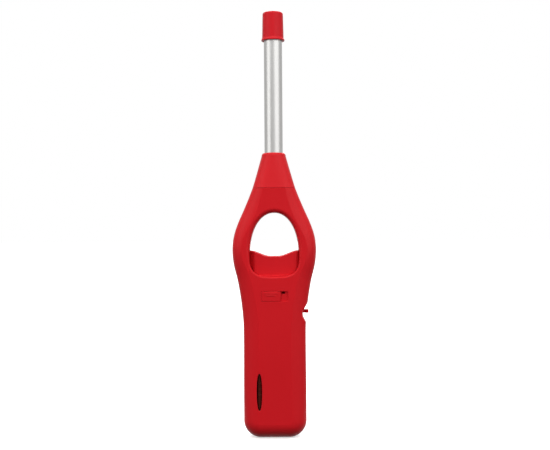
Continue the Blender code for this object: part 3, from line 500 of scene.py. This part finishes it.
def make_shell(side):
    """Half the housing: the front half is on side -1 and the rear half on side 1."""
    shell = solid("shell", shell_body(side))
    if side < 0:
        boolean(shell, box(*RECESS_BACKING), "UNION")

    def deep(near, far):
        return tuple(sorted((side * near, side * far)))

    wide = GUIDE_HALF_WIDTH + 2
    bay = deep(-CLEAR, BAY_HALF_DEPTH)
    boolean(shell, box((-GUIDE_HALF_WIDTH, GUIDE_HALF_WIDTH), bay, BAY_Z))
    boolean(shell, box((-wide, wide), bay, (BAY_Z[0], GUIDE_END_Z)))
    boolean(shell, box(NOTCH_BACKING_X, deep(*NOTCH_BACKING_DEPTHS), NOTCH_BACKING_Z), "UNION")
    for x, z in SCREWS:
        screw_boss(shell, side, x, z)
    boolean(shell, thumb_notch())
    slot_z = (LEVER_Z - LEVER_SLOT_HALF_HEIGHT, LEVER_Z + LEVER_SLOT_HALF_HEIGHT)
    boolean(shell, box(LEVER_SLOT_X, deep(-CLEAR, LEVER_SLOT_HALF_DEPTH), slot_z))
    fill_port = [(0, 3), (3.0, 3), (3.0, 0.35), (3.12, 0.12), (3.4, 0), (3.45, -CLEAR), (0, -CLEAR)]
    boolean(shell, turned(fill_port))
    if side < 0:
        cut_front(shell)
    else:
        cut_rear(shell)
    return finish_mesh(shell)


# ---------------------------------------------------------------- nose cone, wand and cap
def cone_foot(steps=14):
    """The cone's foot, equal to the housing's section at the seam, as (x, y) points all round."""
    wide, deep = half_width(SEAM_Z), half_depth(SEAM_Z)
    edge = [(wide - d, deep - b) for d, b in (edge_point(SEAM_Z, 0, i / steps) for i in range(steps + 1))]
    side = [(wide, edge[0][1] * i / 3) for i in range(3)]
    face = [(edge[-1][0] * (1 - i / 5), deep) for i in range(1, 5)]
    right = side + edge + face + [(0, deep)]
    upper = right + [(-x, y) for x, y in reversed(right[1:-1])]
    return upper + [(-x, -y) for x, y in upper]


def cone_section(z, shrink=0.0):
    """The cone's outline at a height: each point of its foot runs straight to its own place on the lip."""
    wide, deep = half_width(SEAM_Z), half_depth(SEAM_Z)
    t = min(max((z - SEAM_Z) / (CONE_TOP_Z - CONE_LIP - SEAM_Z), 0), 1)
    section = []
    for x, y in cone_foot():
        angle = math.atan2(y / deep, x / wide)
        lip_x, lip_y = CONE_TOP_R * math.cos(angle), CONE_TOP_R * math.sin(angle)
        section.append((x + (lip_x - x) * t, y + (lip_y - y) * t))
    return inset(section, shrink) if shrink else section


def make_cone():
    foot, low_edge, ease = SEAM_Z + GAP / 2, CONE_TOP_Z - CONE_LIP, 0.14
    neck = inset(cone_section(SEAM_Z), WALL + GAP)
    core = inset(neck, SKIRT_WALL)

    def at(section, z):
        return [(x, y, z) for x, y in section]

    loops = [at(neck, foot - SKIRT_LENGTH), at(neck, foot), at(cone_section(foot, ease), foot)]
    loops += [at(cone_section(foot, 0.04), foot + 0.04), at(cone_section(foot), foot + ease)]
    side_start, side_steps, lip_steps = foot + 1, 16, 8
    for i in range(side_steps + 1):
        z = side_start + (low_edge - side_start) * i / side_steps
        loops.append(at(cone_section(z), z))
    for i in range(1, lip_steps + 1):
        a = math.pi / 2 * i / lip_steps
        shrink = CONE_LIP * (1 - math.cos(a)) * 0.78
        loops.append(at(cone_section(low_edge, shrink), low_edge + CONE_LIP * math.sin(a)))
    cone = solid("cone", loft(loops))
    boolean(cone, loft([at(core, foot - SKIRT_LENGTH - CLEAR), at(core, TUBE_FOOT_Z + CLEAR)]))
    boolean(cone, rod(TUBE_R + 0.1, (0, 0, TUBE_FOOT_Z), (0, 0, CONE_TOP_Z + CLEAR), 96))
    return finish_mesh(cone)


def make_wand():
    """The tube with its rolled tip, its flanged foot and two pairs of air holes."""
    flange_top = TUBE_FOOT_Z + FLANGE_THICKNESS
    tip = [(4.2, -0.45), (4.12, -0.2), (4.25, -0.02), (4.5, 0), (4.72, -0.12), (4.85, -0.35), (TUBE_R, -0.6)]
    profile = [(radius, TUBE_TOP_Z + below) for radius, below in tip]
    profile += [(TUBE_R, flange_top), (FLANGE_R, flange_top), (FLANGE_R, TUBE_FOOT_Z)]
    profile += [(TUBE_BORE_R, TUBE_FOOT_Z), (TUBE_BORE_R, TUBE_TOP_Z - 0.8)]
    tube = solid("tube", turned(profile, 128, ring=True))
    level = Vector((0, 0, AIR_HOLE_Z))
    for across in (Vector((0, 8, 0)), Vector((8, 0, 0))):
        boolean(tube, rod(AIR_HOLE_R, level - across, level + across, 40))
    return finish_mesh(tube)


def make_cap():
    """A slightly tapered cup with a flared mouth."""
    bore_top = CAP_TOP_Z - CAP_WALL
    side_end, flare, bore_r = (5.79, 214.6), 6.25, 5.0
    top = [(0, CAP_TOP_Z), (3.0, CAP_TOP_Z), (5.5, CAP_TOP_Z - 0.08), side_end]
    lip = [side_end, (5.9, 213.9), (flare, 213.3), (flare, CAP_MOUTH_Z)]
    mouth = [(5.15, CAP_MOUTH_Z), (bore_r, 212.9)]
    bore = [(bore_r, bore_top - 0.5), (4.5, bore_top), (0, bore_top)]
    profile = rounded(top, 1.1, 8)[:-1] + rounded(lip + mouth, 0.3, 5) + bore
    return finish_mesh(solid("cap", turned(profile, 128)))


# ---------------------------------------------------------------- trigger, slide, lever
def saddle_height(x):
    """The trigger's top: level in the middle, rising in an S to both sides."""
    t = min(max((abs(x) - 2.2) / 10.8, 0), 1)
    return SADDLE_Z + SADDLE_RISE * t * t * (3 - 2 * t)


def trigger_plan(lanes):
    """The plan as (x, y) points, with how many of them the front has: the front from left to right, the right
    side, the back from right to left and the left side. A side has one point less than there are lanes. The
    left corners are cut back further than the right ones."""
    wide, deep = TRIGGER_HALF_WIDTH, TRIGGER_HALF_DEPTH

    def corner(cut, drop):
        turn = rounded([(wide, 0), (wide, deep - drop), (wide - cut, deep), (0, deep)], 0.9, 5)[1:]
        dense = []
        for (x0, y0), (x1, y1) in zip(turn, turn[1:]):
            steps = max(1, math.ceil(math.hypot(x1 - x0, y1 - y0) / 0.6))
            dense += [(x0 + (x1 - x0) * i / steps, y0 + (y1 - y0) * i / steps) for i in range(steps)]
        return dense

    left, right = corner(2.75, 2.8), corner(1.7, 1.1)
    front = [(-x, -y) for x, y in left] + [(0, -deep)] + [(x, -y) for x, y in reversed(right)]
    shares = [2 * k / lanes - 1 for k in range(1, lanes)]
    right_side = [(wide, right[0][1] * share) for share in shares]
    left_side = [(-wide, -left[0][1] * share) for share in shares]
    plan = front + right_side + [(x, -y) for x, y in reversed(front)] + left_side
    return plan, len(front)


def trigger_block():
    """The solid block: straight sides, rounded top edges, and a top in lanes between its front and back."""
    round_r, steps, lanes, slimmer = 0.45, 6, 10, 0.965
    plan, across = trigger_plan(lanes)
    count = len(plan)
    bm = bmesh.new()
    rows = []
    for thin, z in ((1.0, TRIGGER_SKIRT_Z), (1.0, 86.75), (0.99, 86.95), (slimmer, 87.05)):
        rows.append([bm.verts.new((x, y * thin, z)) for x, y in plan])
    for i in range(steps + 1):
        a = math.pi / 2 * i / steps
        inner = inset([(x, y * slimmer) for x, y in plan], round_r * (1 - math.cos(a)))
        rows.append([bm.verts.new((x, y, saddle_height(x) - round_r * (1 - math.sin(a)))) for x, y in inner])
    for low, high in zip(rows, rows[1:]):
        for i in range(count):
            j = (i + 1) % count
            bm.faces.new((low[i], low[j], high[j], high[i]))
    top = rows[-1]
    side_end, back_end = across + lanes - 1, 2 * across + lanes - 1
    fronts, right_side = top[:across], top[across:side_end]
    backs, left_side = top[side_end:back_end], top[back_end:]
    columns = [[fronts[0], *reversed(left_side), backs[-1]]]
    for front, back in zip(fronts[1:-1], backs[-2:0:-1]):
        between = [bm.verts.new(front.co.lerp(back.co, k / lanes)) for k in range(1, lanes)]
        columns.append([front, *between, back])
    columns.append([fronts[-1], *right_side, backs[0]])
    for left, right in zip(columns, columns[1:]):
        for k in range(lanes):
            bm.faces.new((left[k], right[k], right[k + 1], left[k + 1]))
    bm.faces.new(list(reversed(rows[0])))
    bmesh.ops.recalc_face_normals(bm, faces=bm.faces)
    return bm


def make_trigger():
    """The block hollowed from below and cut clear of its guides, with posts for the plunger and the lever."""
    trigger = solid("trigger", trigger_block())
    inner_x, inner_y = TRIGGER_HALF_WIDTH - TRIGGER_WALL, TRIGGER_HALF_DEPTH - TRIGGER_WALL
    boolean(trigger, box((-inner_x, inner_x), (-inner_y, inner_y), (80, 94.5)))
    for guide_x in ((-14, -11.2), (11.2, 14)):
        boolean(trigger, box(guide_x, (-9, 9), (80, 88)))
    plunger_post = ((-8.4, -1.8), (-2.5, 2.5), (86.5, 95))
    lever_post = ((-0.6, 0.8), (-2, 2), (77.4, 95))
    boolean(trigger, box(*plunger_post), "UNION")
    boolean(trigger, box(*lever_post), "UNION")
    return finish_mesh(trigger)


def make_slide():
    """A low button with a rounded edge, two thumb ridges along its top, and the stem behind it."""
    ease, ridge_x, stem = 0.2, -2.1, ((-4.6, -1.6), (-9.5, -6.3), (75.9, 77.7))
    outline = slot_outline(SLIDE_X, SLIDE_Z, 0.9)
    rings = [(0.0, SLIDE_BACK_Y), (0.0, SLIDE_FACE_Y)]
    for a in (0.3, 0.6, 0.9, 1.2, math.pi / 2):
        rings.append((ease * (1 - math.cos(a)), SLIDE_FACE_Y - ease * math.sin(a)))
    slide = solid("slide", loft([[(x, y, z) for x, z in inset(outline, grow)] for grow, y in rings]))
    for middle, half_long in ((77.45, 3.6), (76.35, 2.6)):
        ridge = []
        for half, y in ((0.4, -9.9), (0.34, -10.06), (0.22, -10.14), (0.1, -10.17)):
            along, up = (ridge_x - half_long, ridge_x + half_long), (middle - half, middle + half)
            ridge.append([(x, y, z) for x, z in slot_outline(along, up, half * 0.98)])
        boolean(slide, loft(ridge), "UNION")
    boolean(slide, box(*stem), "UNION")
    return finish_mesh(slide)


def eased_plate(outline, low, high, ease, steps=3):
    """A plate between two heights with its edges rounded."""
    angles = [math.pi / 2 * i / steps for i in range(steps + 1)]
    curve = [(ease * (1 - math.sin(a)), ease * (1 - math.cos(a))) for a in angles]
    loops = [[(x, y, low + up) for x, y in inset(outline, d)] for d, up in curve]
    loops += [[(x, y, high - up) for x, y in inset(outline, d)] for d, up in reversed(curve)]
    return loft(loops)


def make_lever():
    """A fine-toothed ring round the valve with a blade out to the thumb tab."""
    low, high = LEVER_Z - LEVER_THICKNESS / 2, LEVER_Z + LEVER_THICKNESS / 2
    blade_half, tab_half, tab_start, tooth, steps = 0.9, 1.8, 16.5, 0.11, LEVER_TEETH * 6
    start = math.asin(blade_half / LEVER_RING_R)
    outline = []
    for i in range(steps + 1):
        angle = start + (math.tau - 2 * start) * i / steps
        radius = LEVER_RING_R - tooth * (1 - math.cos(math.tau * LEVER_TEETH * i / steps))
        outline.append((VALVE_X + radius * math.cos(angle), radius * math.sin(angle)))
    tab = rounded([
        (11.2, -blade_half), (tab_start, -blade_half), (tab_start + 0.4, -tab_half), (LEVER_TIP_X, -tab_half),
        (LEVER_TIP_X, 0),
    ], 0.3, 4)
    outline += tab[:-1] + [(x, -y) for x, y in reversed(tab[:-1])]
    ring = solid("ring", eased_plate(outline, low, high, 0.15))
    boolean(ring, rod(LEVER_RING_BORE_R, (VALVE_X, 0, 60), (VALVE_X, 0, 72), 64))
    return finish_mesh(ring)


# ---------------------------------------------------------------- tank, screws, valves
def tank_outline(shrink):
    """The tank from the front, shrunk all round but at its open top."""
    wide, foot, corner, steps = 14.4 - shrink, 2.1 + shrink, 7.6 - shrink, 12
    right = [((wide - corner) / 2, foot)]
    for i in range(steps + 1):
        angle = math.pi / 2 * i / steps
        right.append((wide - corner + corner * math.sin(angle), foot + corner * (1 - math.cos(angle))))
    right.append((wide, 60))
    return right + [(-x, z) for x, z in reversed(right)]


def slab(outline, half, across, back, top, steps=8):
    """An outline drawn out to half a depth both ways, with rounded edges, and cut off level."""
    curve = edge_curve(across, back, steps)
    loops = [[(x, half - behind, z) for x, z in inset(outline, d)] for d, behind in reversed(curve)]
    loops += [[(x, behind - half, z) for x, z in inset(outline, d)] for d, behind in curve]
    return cut_level(loft(loops), top)


def make_tank():
    """The smoked tank, with the window's lens standing out in front and the refill valve's hole below."""
    half, across, back, top, wall, gap = 8.2, 5.2, 4.8, 50.5, 1.5, 0.25
    tank = solid("tank", slab(tank_outline(0), half, across, back, top))
    lens = []
    for grow, depth in ((0.0, 7.4), (0.0, 8.9), (0.08, 9.15), (0.25, 9.35), (0.5, 9.48), (0.8, 9.54)):
        slit = long_oval(
            WINDOW_HALF_WIDTH - gap - grow, WINDOW_HALF_HEIGHT - gap - grow * 2, WINDOW_X, WINDOW_Z,
        )
        lens.append([(x, -depth, z) for x, z in slit])
    boolean(tank, loft(lens), "UNION")
    boolean(tank, slab(tank_outline(wall), half - wall, across - wall, back - wall, top + 2))
    boolean(tank, rod(2.0, (0, 0, 0), (0, 0, 6), 48))
    return finish_mesh(tank)


def make_screw(number, x, z):
    """A pan-head screw with a cross recess, made upright and laid down with its head at the back."""
    neck, top = SCREW_LENGTH, SCREW_LENGTH + SCREW_HEAD
    head = [(0, top), (0.6, top - 0.03), (1.15, top - 0.22), (1.5, top - 0.6), (1.6, neck + 0.35)]
    shank = [(1.6, neck + 0.08), (1.52, neck), (0.9, neck), (0.9, 1.2), (0.2, 0), (0, 0)]
    screw = solid("screw", turned(head + shank, 48))
    for half_x, half_y in ((0.95, 0.2), (0.2, 0.95)):
        arm = []
        for k, height in ((0.55, neck + 0.35), (1.0, top + 0.4)):
            wide, deep = half_x * k, half_y * k
            outline = slot_outline((-wide, wide), (-deep, deep), 0.12 * k, 3)
            arm.append([(dx, dy, height) for dx, dy in outline])
        boolean(screw, loft(arm))
    tip = Matrix.Translation(Vector((x, SCREW_TIP_Y, z)) * MM)
    laid_down = Matrix.Rotation(-math.pi / 2, 4, "X")
    driven = Matrix.Rotation(0.5 + number, 4, "Z")
    screw.data.transform(tip @ laid_down @ driven)
    return finish_mesh(screw, 30)


def make_fill_body():
    """The refill valve's flanged sleeve."""
    bore, sleeve_r, flange_r, top, shoulder, foot = 0.8, 1.9, 2.6, 9.5, 1.8, 0.9
    outside = [(sleeve_r, top), (sleeve_r, shoulder), (flange_r, shoulder), (flange_r, foot)]
    inside = [(1.1, foot), (bore, 1.2), (bore, top - 0.1)]
    return finish_mesh(solid("fill_body", turned(rounded(outside + inside, 0.12), 64, ring=True)), 30)


def make_fill_stem():
    """The refill valve's pin, with a rounded lower end."""
    radius, top = 0.65, 8.6
    profile = [(0, top), (radius, top), (radius, 0.9), (0.58, 0.72), (0.4, 0.62), (0, 0.6)]
    return solid("fill_stem", turned(profile, 48))


def make_nozzle():
    """The burner's brass nozzle."""
    bore, body_r, flange_r = 0.45, 1.7, 2.2
    top, shoulder, flange_top, foot = 219.5, 217.6, 213.4, 211.8
    tip = [(2 * bore, top), (1.3, top - 0.4), (body_r, shoulder), (body_r, flange_top)]
    outside = tip + [(flange_r, flange_top - 0.4), (flange_r, foot)]
    inside = [(bore, foot), (bore, top - 0.1)]
    return finish_mesh(solid("nozzle", turned(rounded(outside + inside, 0.12), 64, ring=True)), 30)


# ---------------------------------------------------------------- materials
PLASTIC_IOR = 1.49


class Nodes:
    """A short way to write a node tree."""

    def __init__(self, name):
        self.material = bpy.data.materials.new(name)
        self.material.use_nodes = True
        self.tree = self.material.node_tree
        self.shader = self.tree.nodes["Principled BSDF"]
        self.place = self.node("ShaderNodeTexCoord").outputs["Object"]

    def node(self, kind, **values):
        made = self.tree.nodes.new(kind)
        for key, value in values.items():
            setattr(made, key, value)
        return made

    def link(self, out, socket):
        self.tree.links.new(out, socket)

    def noise(self, scale, detail=3.0, stretch=(1, 1, 1), rough=0.55):
        mapping = self.node("ShaderNodeMapping")
        mapping.inputs["Scale"].default_value = stretch
        self.link(self.place, mapping.inputs["Vector"])
        made = self.node("ShaderNodeTexNoise")
        made.inputs["Scale"].default_value = scale
        made.inputs["Detail"].default_value = detail
        made.inputs["Roughness"].default_value = rough
        self.link(mapping.outputs["Vector"], made.inputs["Vector"])
        return made.outputs["Fac"]

    def ranged(self, value, low, high, start=0.3, end=0.7):
        """Maps a value's stretch from start to end onto low to high."""
        made = self.node("ShaderNodeMapRange")
        made.inputs["From Min"].default_value = start
        made.inputs["From Max"].default_value = end
        made.inputs["To Min"].default_value = low
        made.inputs["To Max"].default_value = high
        self.link(value, made.inputs["Value"])
        return made.outputs["Result"]

    def mixed(self, factor, a, b):
        """Two colours, each a tuple or an output, mixed by a factor."""
        made = self.node("ShaderNodeMix", data_type="RGBA")
        self.link(factor, made.inputs["Factor"])
        for name, value in (("A", a), ("B", b)):
            target = next(socket for socket in made.inputs if socket.name == name and socket.type == "RGBA")
            if isinstance(value, tuple):
                target.default_value = (*value, 1.0)
            else:
                self.link(value, target)
        return next(socket for socket in made.outputs if socket.type == "RGBA")

    def bump(self, height, distance):
        made = self.node("ShaderNodeBump")
        made.inputs["Strength"].default_value = 1.0
        made.inputs["Distance"].default_value = distance
        self.link(height, made.inputs["Height"])
        return made.outputs["Normal"]

    def set(self, **values):
        """Sets or links the shader's sockets, named with _ for a space."""
        for key, value in values.items():
            socket = self.shader.inputs[key.replace("_", " ")]
            if hasattr(value, "is_output"):
                self.link(value, socket)
            else:
                socket.default_value = value
        return self.material


def plastic(name, light, dark, rough=(0.34, 0.42), grain=0.000008, specular=0.125):
    """Moulded plastic: a faint cloud of colour, fine scuffs along z in the gloss, and a grain in metres."""
    n = Nodes(name)
    cloud = n.noise(38)
    colour = n.mixed(n.ranged(cloud, 0, 1, 0.25, 0.75), dark, light)
    scuffs = n.noise(900, 4, (1, 1, 0.06))
    gloss = n.node("ShaderNodeMath", operation="ADD")
    n.link(n.ranged(scuffs, *rough, 0.35, 0.72), gloss.inputs[0])
    n.link(n.ranged(n.noise(160, 2), -0.02, 0.03), gloss.inputs[1])
    skin = n.bump(n.noise(3200, 2), grain)
    return n.set(
        Base_Color=colour, Roughness=gloss.outputs[0], Normal=skin, IOR=PLASTIC_IOR,
        Specular_IOR_Level=specular,
    )


def metal(name, light, dark, rough, stretch, scale=700):
    """Brushed or drawn metal: its fine lines run along the axis that the stretch makes short."""
    n = Nodes(name)
    brushed = n.noise(scale, 5, stretch, 0.7)
    cloud = n.noise(70)
    colour = n.mixed(n.ranged(cloud, 0, 1), dark, light)
    lighter = tuple(min(1.0, channel * 1.06) for channel in light)
    shade = n.mixed(n.ranged(brushed, 0, 1, 0.25, 0.75), colour, lighter)
    return n.set(
        Base_Color=shade, Metallic=1.0, Roughness=n.ranged(brushed, *rough), Normal=n.bump(brushed, 0.000006),
    )


def smoked():
    """Smoked plastic: nearly black, with faint brown streaks along z that are a painted reflection of the
    window's lens.
    """
    n = Nodes("smoked_tank")
    # Painted reflection: the brown streaks along z stand in for the lens's reflection, painted into the
    # colour.
    painted_reflection_streaks = n.noise(330, 1, (1, 1, 0.02))
    dark, reflection_brown = (0.012, 0.0003, 0.0002), (0.07, 0.007, 0.002)
    return n.set(
        Base_Color=n.mixed(n.ranged(painted_reflection_streaks, 0, 1, 0.42, 0.6), dark, reflection_brown),
        Roughness=n.ranged(n.noise(500), 0.22, 0.3), Transmission_Weight=0.12, IOR=PLASTIC_IOR,
        Normal=n.bump(n.noise(90, 1), 0.00004), Specular_IOR_Level=0.03,
    )


RED = plastic("red_plastic", (0.66, 0.0112, 0.0172), (0.63, 0.0102, 0.0158))
RED_TRIGGER = plastic("red_trigger", (0.67, 0.0112, 0.0175), (0.63, 0.0102, 0.016), (0.38, 0.46))
RED_CAP = plastic("red_cap", (0.66, 0.0125, 0.021), (0.62, 0.011, 0.018), (0.30, 0.38), specular=0.11)
STEEL = metal("satin_tube", (0.46, 0.456, 0.447), (0.43, 0.426, 0.417), (0.30, 0.38), (1, 1, 0.02))
SCREW = metal("screw_steel", (0.62, 0.61, 0.59), (0.5, 0.5, 0.49), (0.22, 0.36), (1, 0.1, 1), 1500)
SPRING = metal("spring_steel", (0.5, 0.5, 0.51), (0.4, 0.4, 0.41), (0.2, 0.34), (1, 1, 0.1), 1500)
BRASS = metal("brass", (0.76, 0.53, 0.20), (0.66, 0.43, 0.14), (0.2, 0.32), (1, 1, 8), 1200)
BLACK = plastic("black_plastic", (0.035, 0.035, 0.036), (0.025, 0.025, 0.026), (0.38, 0.5))
WHITE = plastic("natural_plastic", (0.78, 0.76, 0.70), (0.70, 0.68, 0.61), (0.35, 0.45))
CERAMIC = plastic("ceramic", (0.76, 0.74, 0.69), (0.70, 0.67, 0.61), (0.5, 0.6), grain=0.00003)
RUBBER = plastic("rubber", (0.03, 0.03, 0.03), (0.02, 0.02, 0.02), (0.7, 0.85))
SLEEVE = plastic("wire_sleeve", (0.04, 0.04, 0.04), (0.028, 0.028, 0.028), (0.4, 0.55))
SMOKED = smoked()

BY_SLOT = {
    "red_plastic": RED, "red_trigger": RED_TRIGGER, "satin_steel": STEEL, "brass": BRASS,
    "spring_steel": SPRING, "smoked_plastic": SMOKED, "black_plastic": BLACK, "white_plastic": WHITE,
    "ceramic": CERAMIC, "rubber": RUBBER, "wire_sleeve": SLEEVE,
}
for row in frame["record"]["subparts"]:
    carried = NODES[row["node"]]
    carried.data.materials.clear()
    carried.data.materials.append(BY_SLOT[row["material_slot"]])

# ---------------------------------------------------------------- pieces
piece("front_shell_fine", make_shell(-1), "housing", RED, "front_shell")
piece("rear_shell_fine", make_shell(1), "housing", RED, "rear_shell")
piece("nose_cone_fine", make_cone(), "housing", RED, "nose_cone")
piece("wand_tube_fine", make_wand(), "housing", STEEL, "wand_tube")
piece("tip_cap_fine", make_cap(), "tip_cap", RED_CAP, "tip_cap")
piece("trigger_fine", make_trigger(), "trigger", RED_TRIGGER, "trigger")
piece("safety_slide_fine", make_slide(), "safety_slide", RED_TRIGGER, "safety_slide")
piece("flame_adjuster_fine", make_lever(), "flame_adjuster", RED_TRIGGER, "flame_adjuster")
piece("fuel_tank_fine", make_tank(), "housing", SMOKED, "fuel_tank")
for number, (screw_x, screw_z) in enumerate(SCREWS, 1):
    made_screw = make_screw(number, screw_x, screw_z)
    piece(f"case_screw_fine_{number}", made_screw, "housing", SCREW, f"case_screw_{number}")
piece("fill_valve_body_fine", make_fill_body(), "housing", BRASS, "fill_valve_body")
piece("fill_valve_stem_fine", make_fill_stem(), "fill_stem", BRASS, "fill_valve_stem")
piece("burner_nozzle_fine", make_nozzle(), "housing", BRASS, "burner_nozzle")


def spring_piece(node):
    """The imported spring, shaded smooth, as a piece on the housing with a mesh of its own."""
    mesh = NODES[node].data.copy()
    mesh.materials.clear()
    mesh.shade_smooth()
    spring = piece(f"{node}_fine", new_object(node, mesh), "housing", SPRING, node)
    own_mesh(spring)


spring_piece("piezo_return_spring")
spring_piece("impact_spring")
spring_piece("valve_spring")


# ---------------------------------------------------------------- stage, light and camera, in metres
CENTRE = Vector((0, 0, 0.12))
FLOOR_Z = -0.0001  # just under the base, so that the two faces don't coincide
CAMERA_PLACE, CAMERA_ROLL, CAMERA_LENS = (0.00048, -0.5068, 0.1136), -0.38, 61.57


def stage_floor():
    """A white floor that keeps a soft shadow near the object and glows to plain white further out."""
    bm = bmesh.new()
    bmesh.ops.create_circle(bm, cap_ends=True, segments=96, radius=6.0)
    mesh = bpy.data.meshes.new("floor")
    bm.to_mesh(mesh)
    bm.free()
    floor = new_object("floor", mesh)
    n = Nodes("floor")
    away = n.node("ShaderNodeVectorMath", operation="LENGTH")
    n.link(n.place, away.inputs[0])
    near_glow, far_glow, near, far = 0.56, 0.75, 0.03, 0.4
    glow = n.ranged(away.outputs["Value"], near_glow, far_glow, near, far)
    n.set(
        Base_Color=(0.9, 0.9, 0.9, 1), Roughness=0.9, Emission_Color=(1, 1, 1, 1), Emission_Strength=glow,
        Specular_IOR_Level=0.0,
    )
    floor.data.materials.append(n.material)
    floor.location.z = FLOOR_Z
    floor.visible_diffuse = False
    floor.visible_glossy = False


def world(above, below, mirrored):
    """Soft light that grades from one strength below to another above, an even one in reflections, and plain
    white behind the object."""
    made = bpy.data.worlds.new("studio")
    bpy.context.scene.world = made
    made.use_nodes = True
    nodes, links = made.node_tree.nodes, made.node_tree.links

    def background(strength):
        node = nodes.new("ShaderNodeBackground")
        node.inputs["Color"].default_value = (1, 1, 1, 1)
        if isinstance(strength, float):
            node.inputs["Strength"].default_value = strength
        else:
            links.new(strength, node.inputs["Strength"])
        return node.outputs[0]

    def mix(factor, a, b):
        node = nodes.new("ShaderNodeMixShader")
        links.new(factor, node.inputs[0])
        links.new(a, node.inputs[1])
        links.new(b, node.inputs[2])
        return node.outputs[0]

    split = nodes.new("ShaderNodeSeparateXYZ")
    links.new(nodes.new("ShaderNodeTexCoord").outputs["Generated"], split.inputs[0])
    grade = nodes.new("ShaderNodeMapRange")
    grade_start, grade_end = 0.04, 0.6
    for socket, value in (
        ("From Min", grade_start), ("From Max", grade_end), ("To Min", below), ("To Max", above),
    ):
        grade.inputs[socket].default_value = value
    links.new(split.outputs["Z"], grade.inputs["Value"])
    path = nodes.new("ShaderNodeLightPath")
    seen = mix(path.outputs["Is Glossy Ray"], background(grade.outputs["Result"]), background(mirrored))
    seen = mix(path.outputs["Is Camera Ray"], seen, background(1.0))
    links.new(seen, nodes["World Output"].inputs["Surface"])


def softbox(name, azimuth, elevation, distance, wide, tall, power):
    """A softbox aimed at the object's middle from an azimuth (0 is in front, positive to the right) and an
    elevation, in degrees. The camera doesn't see it."""
    a, e = math.radians(azimuth), math.radians(elevation)
    towards = Vector((math.sin(a) * math.cos(e), -math.cos(a) * math.cos(e), math.sin(e)))
    light = bpy.data.lights.new(name, "AREA")
    light.shape = "RECTANGLE"
    light.size = wide
    light.size_y = tall
    light.energy = power
    obj = bpy.data.objects.new(name, light)
    bpy.context.scene.collection.objects.link(obj)
    obj.location = CENTRE + towards * distance
    obj.rotation_euler = (CENTRE - obj.location).to_track_quat("-Z", "Y").to_euler()
    obj.visible_camera = False


def make_camera():
    """A level camera straight in front, rolled by the fraction of a degree that the photo leans."""
    data = bpy.data.cameras.new("camera")
    data.sensor_width = 36.0
    data.lens = CAMERA_LENS
    data.clip_start = 0.01
    data.clip_end = 20.0
    camera = bpy.data.objects.new("camera", data)
    bpy.context.scene.collection.objects.link(camera)
    place = Matrix.Translation(CAMERA_PLACE)
    level = Matrix.Rotation(math.pi / 2, 4, "X")
    roll = Matrix.Rotation(math.radians(CAMERA_ROLL), 4, "Z")
    camera.matrix_world = place @ level @ roll
    bpy.context.scene.camera = camera


stage_floor()
world(above=0.80, below=0.0, mirrored=0.85)
softbox("left_softbox", -60, 29, 0.9, 0.7, 1.2, 3.5)
softbox("right_softbox", 45, 29, 0.9, 1.0, 1.2, 4.9)
softbox("front_softbox", -6, 50, 0.9, 0.7, 0.7, 2.8)
softbox("back_softbox", 175, 38, 0.9, 0.6, 0.6, 3.2)
make_camera()
bpy.context.scene.view_settings.view_transform = "Standard"
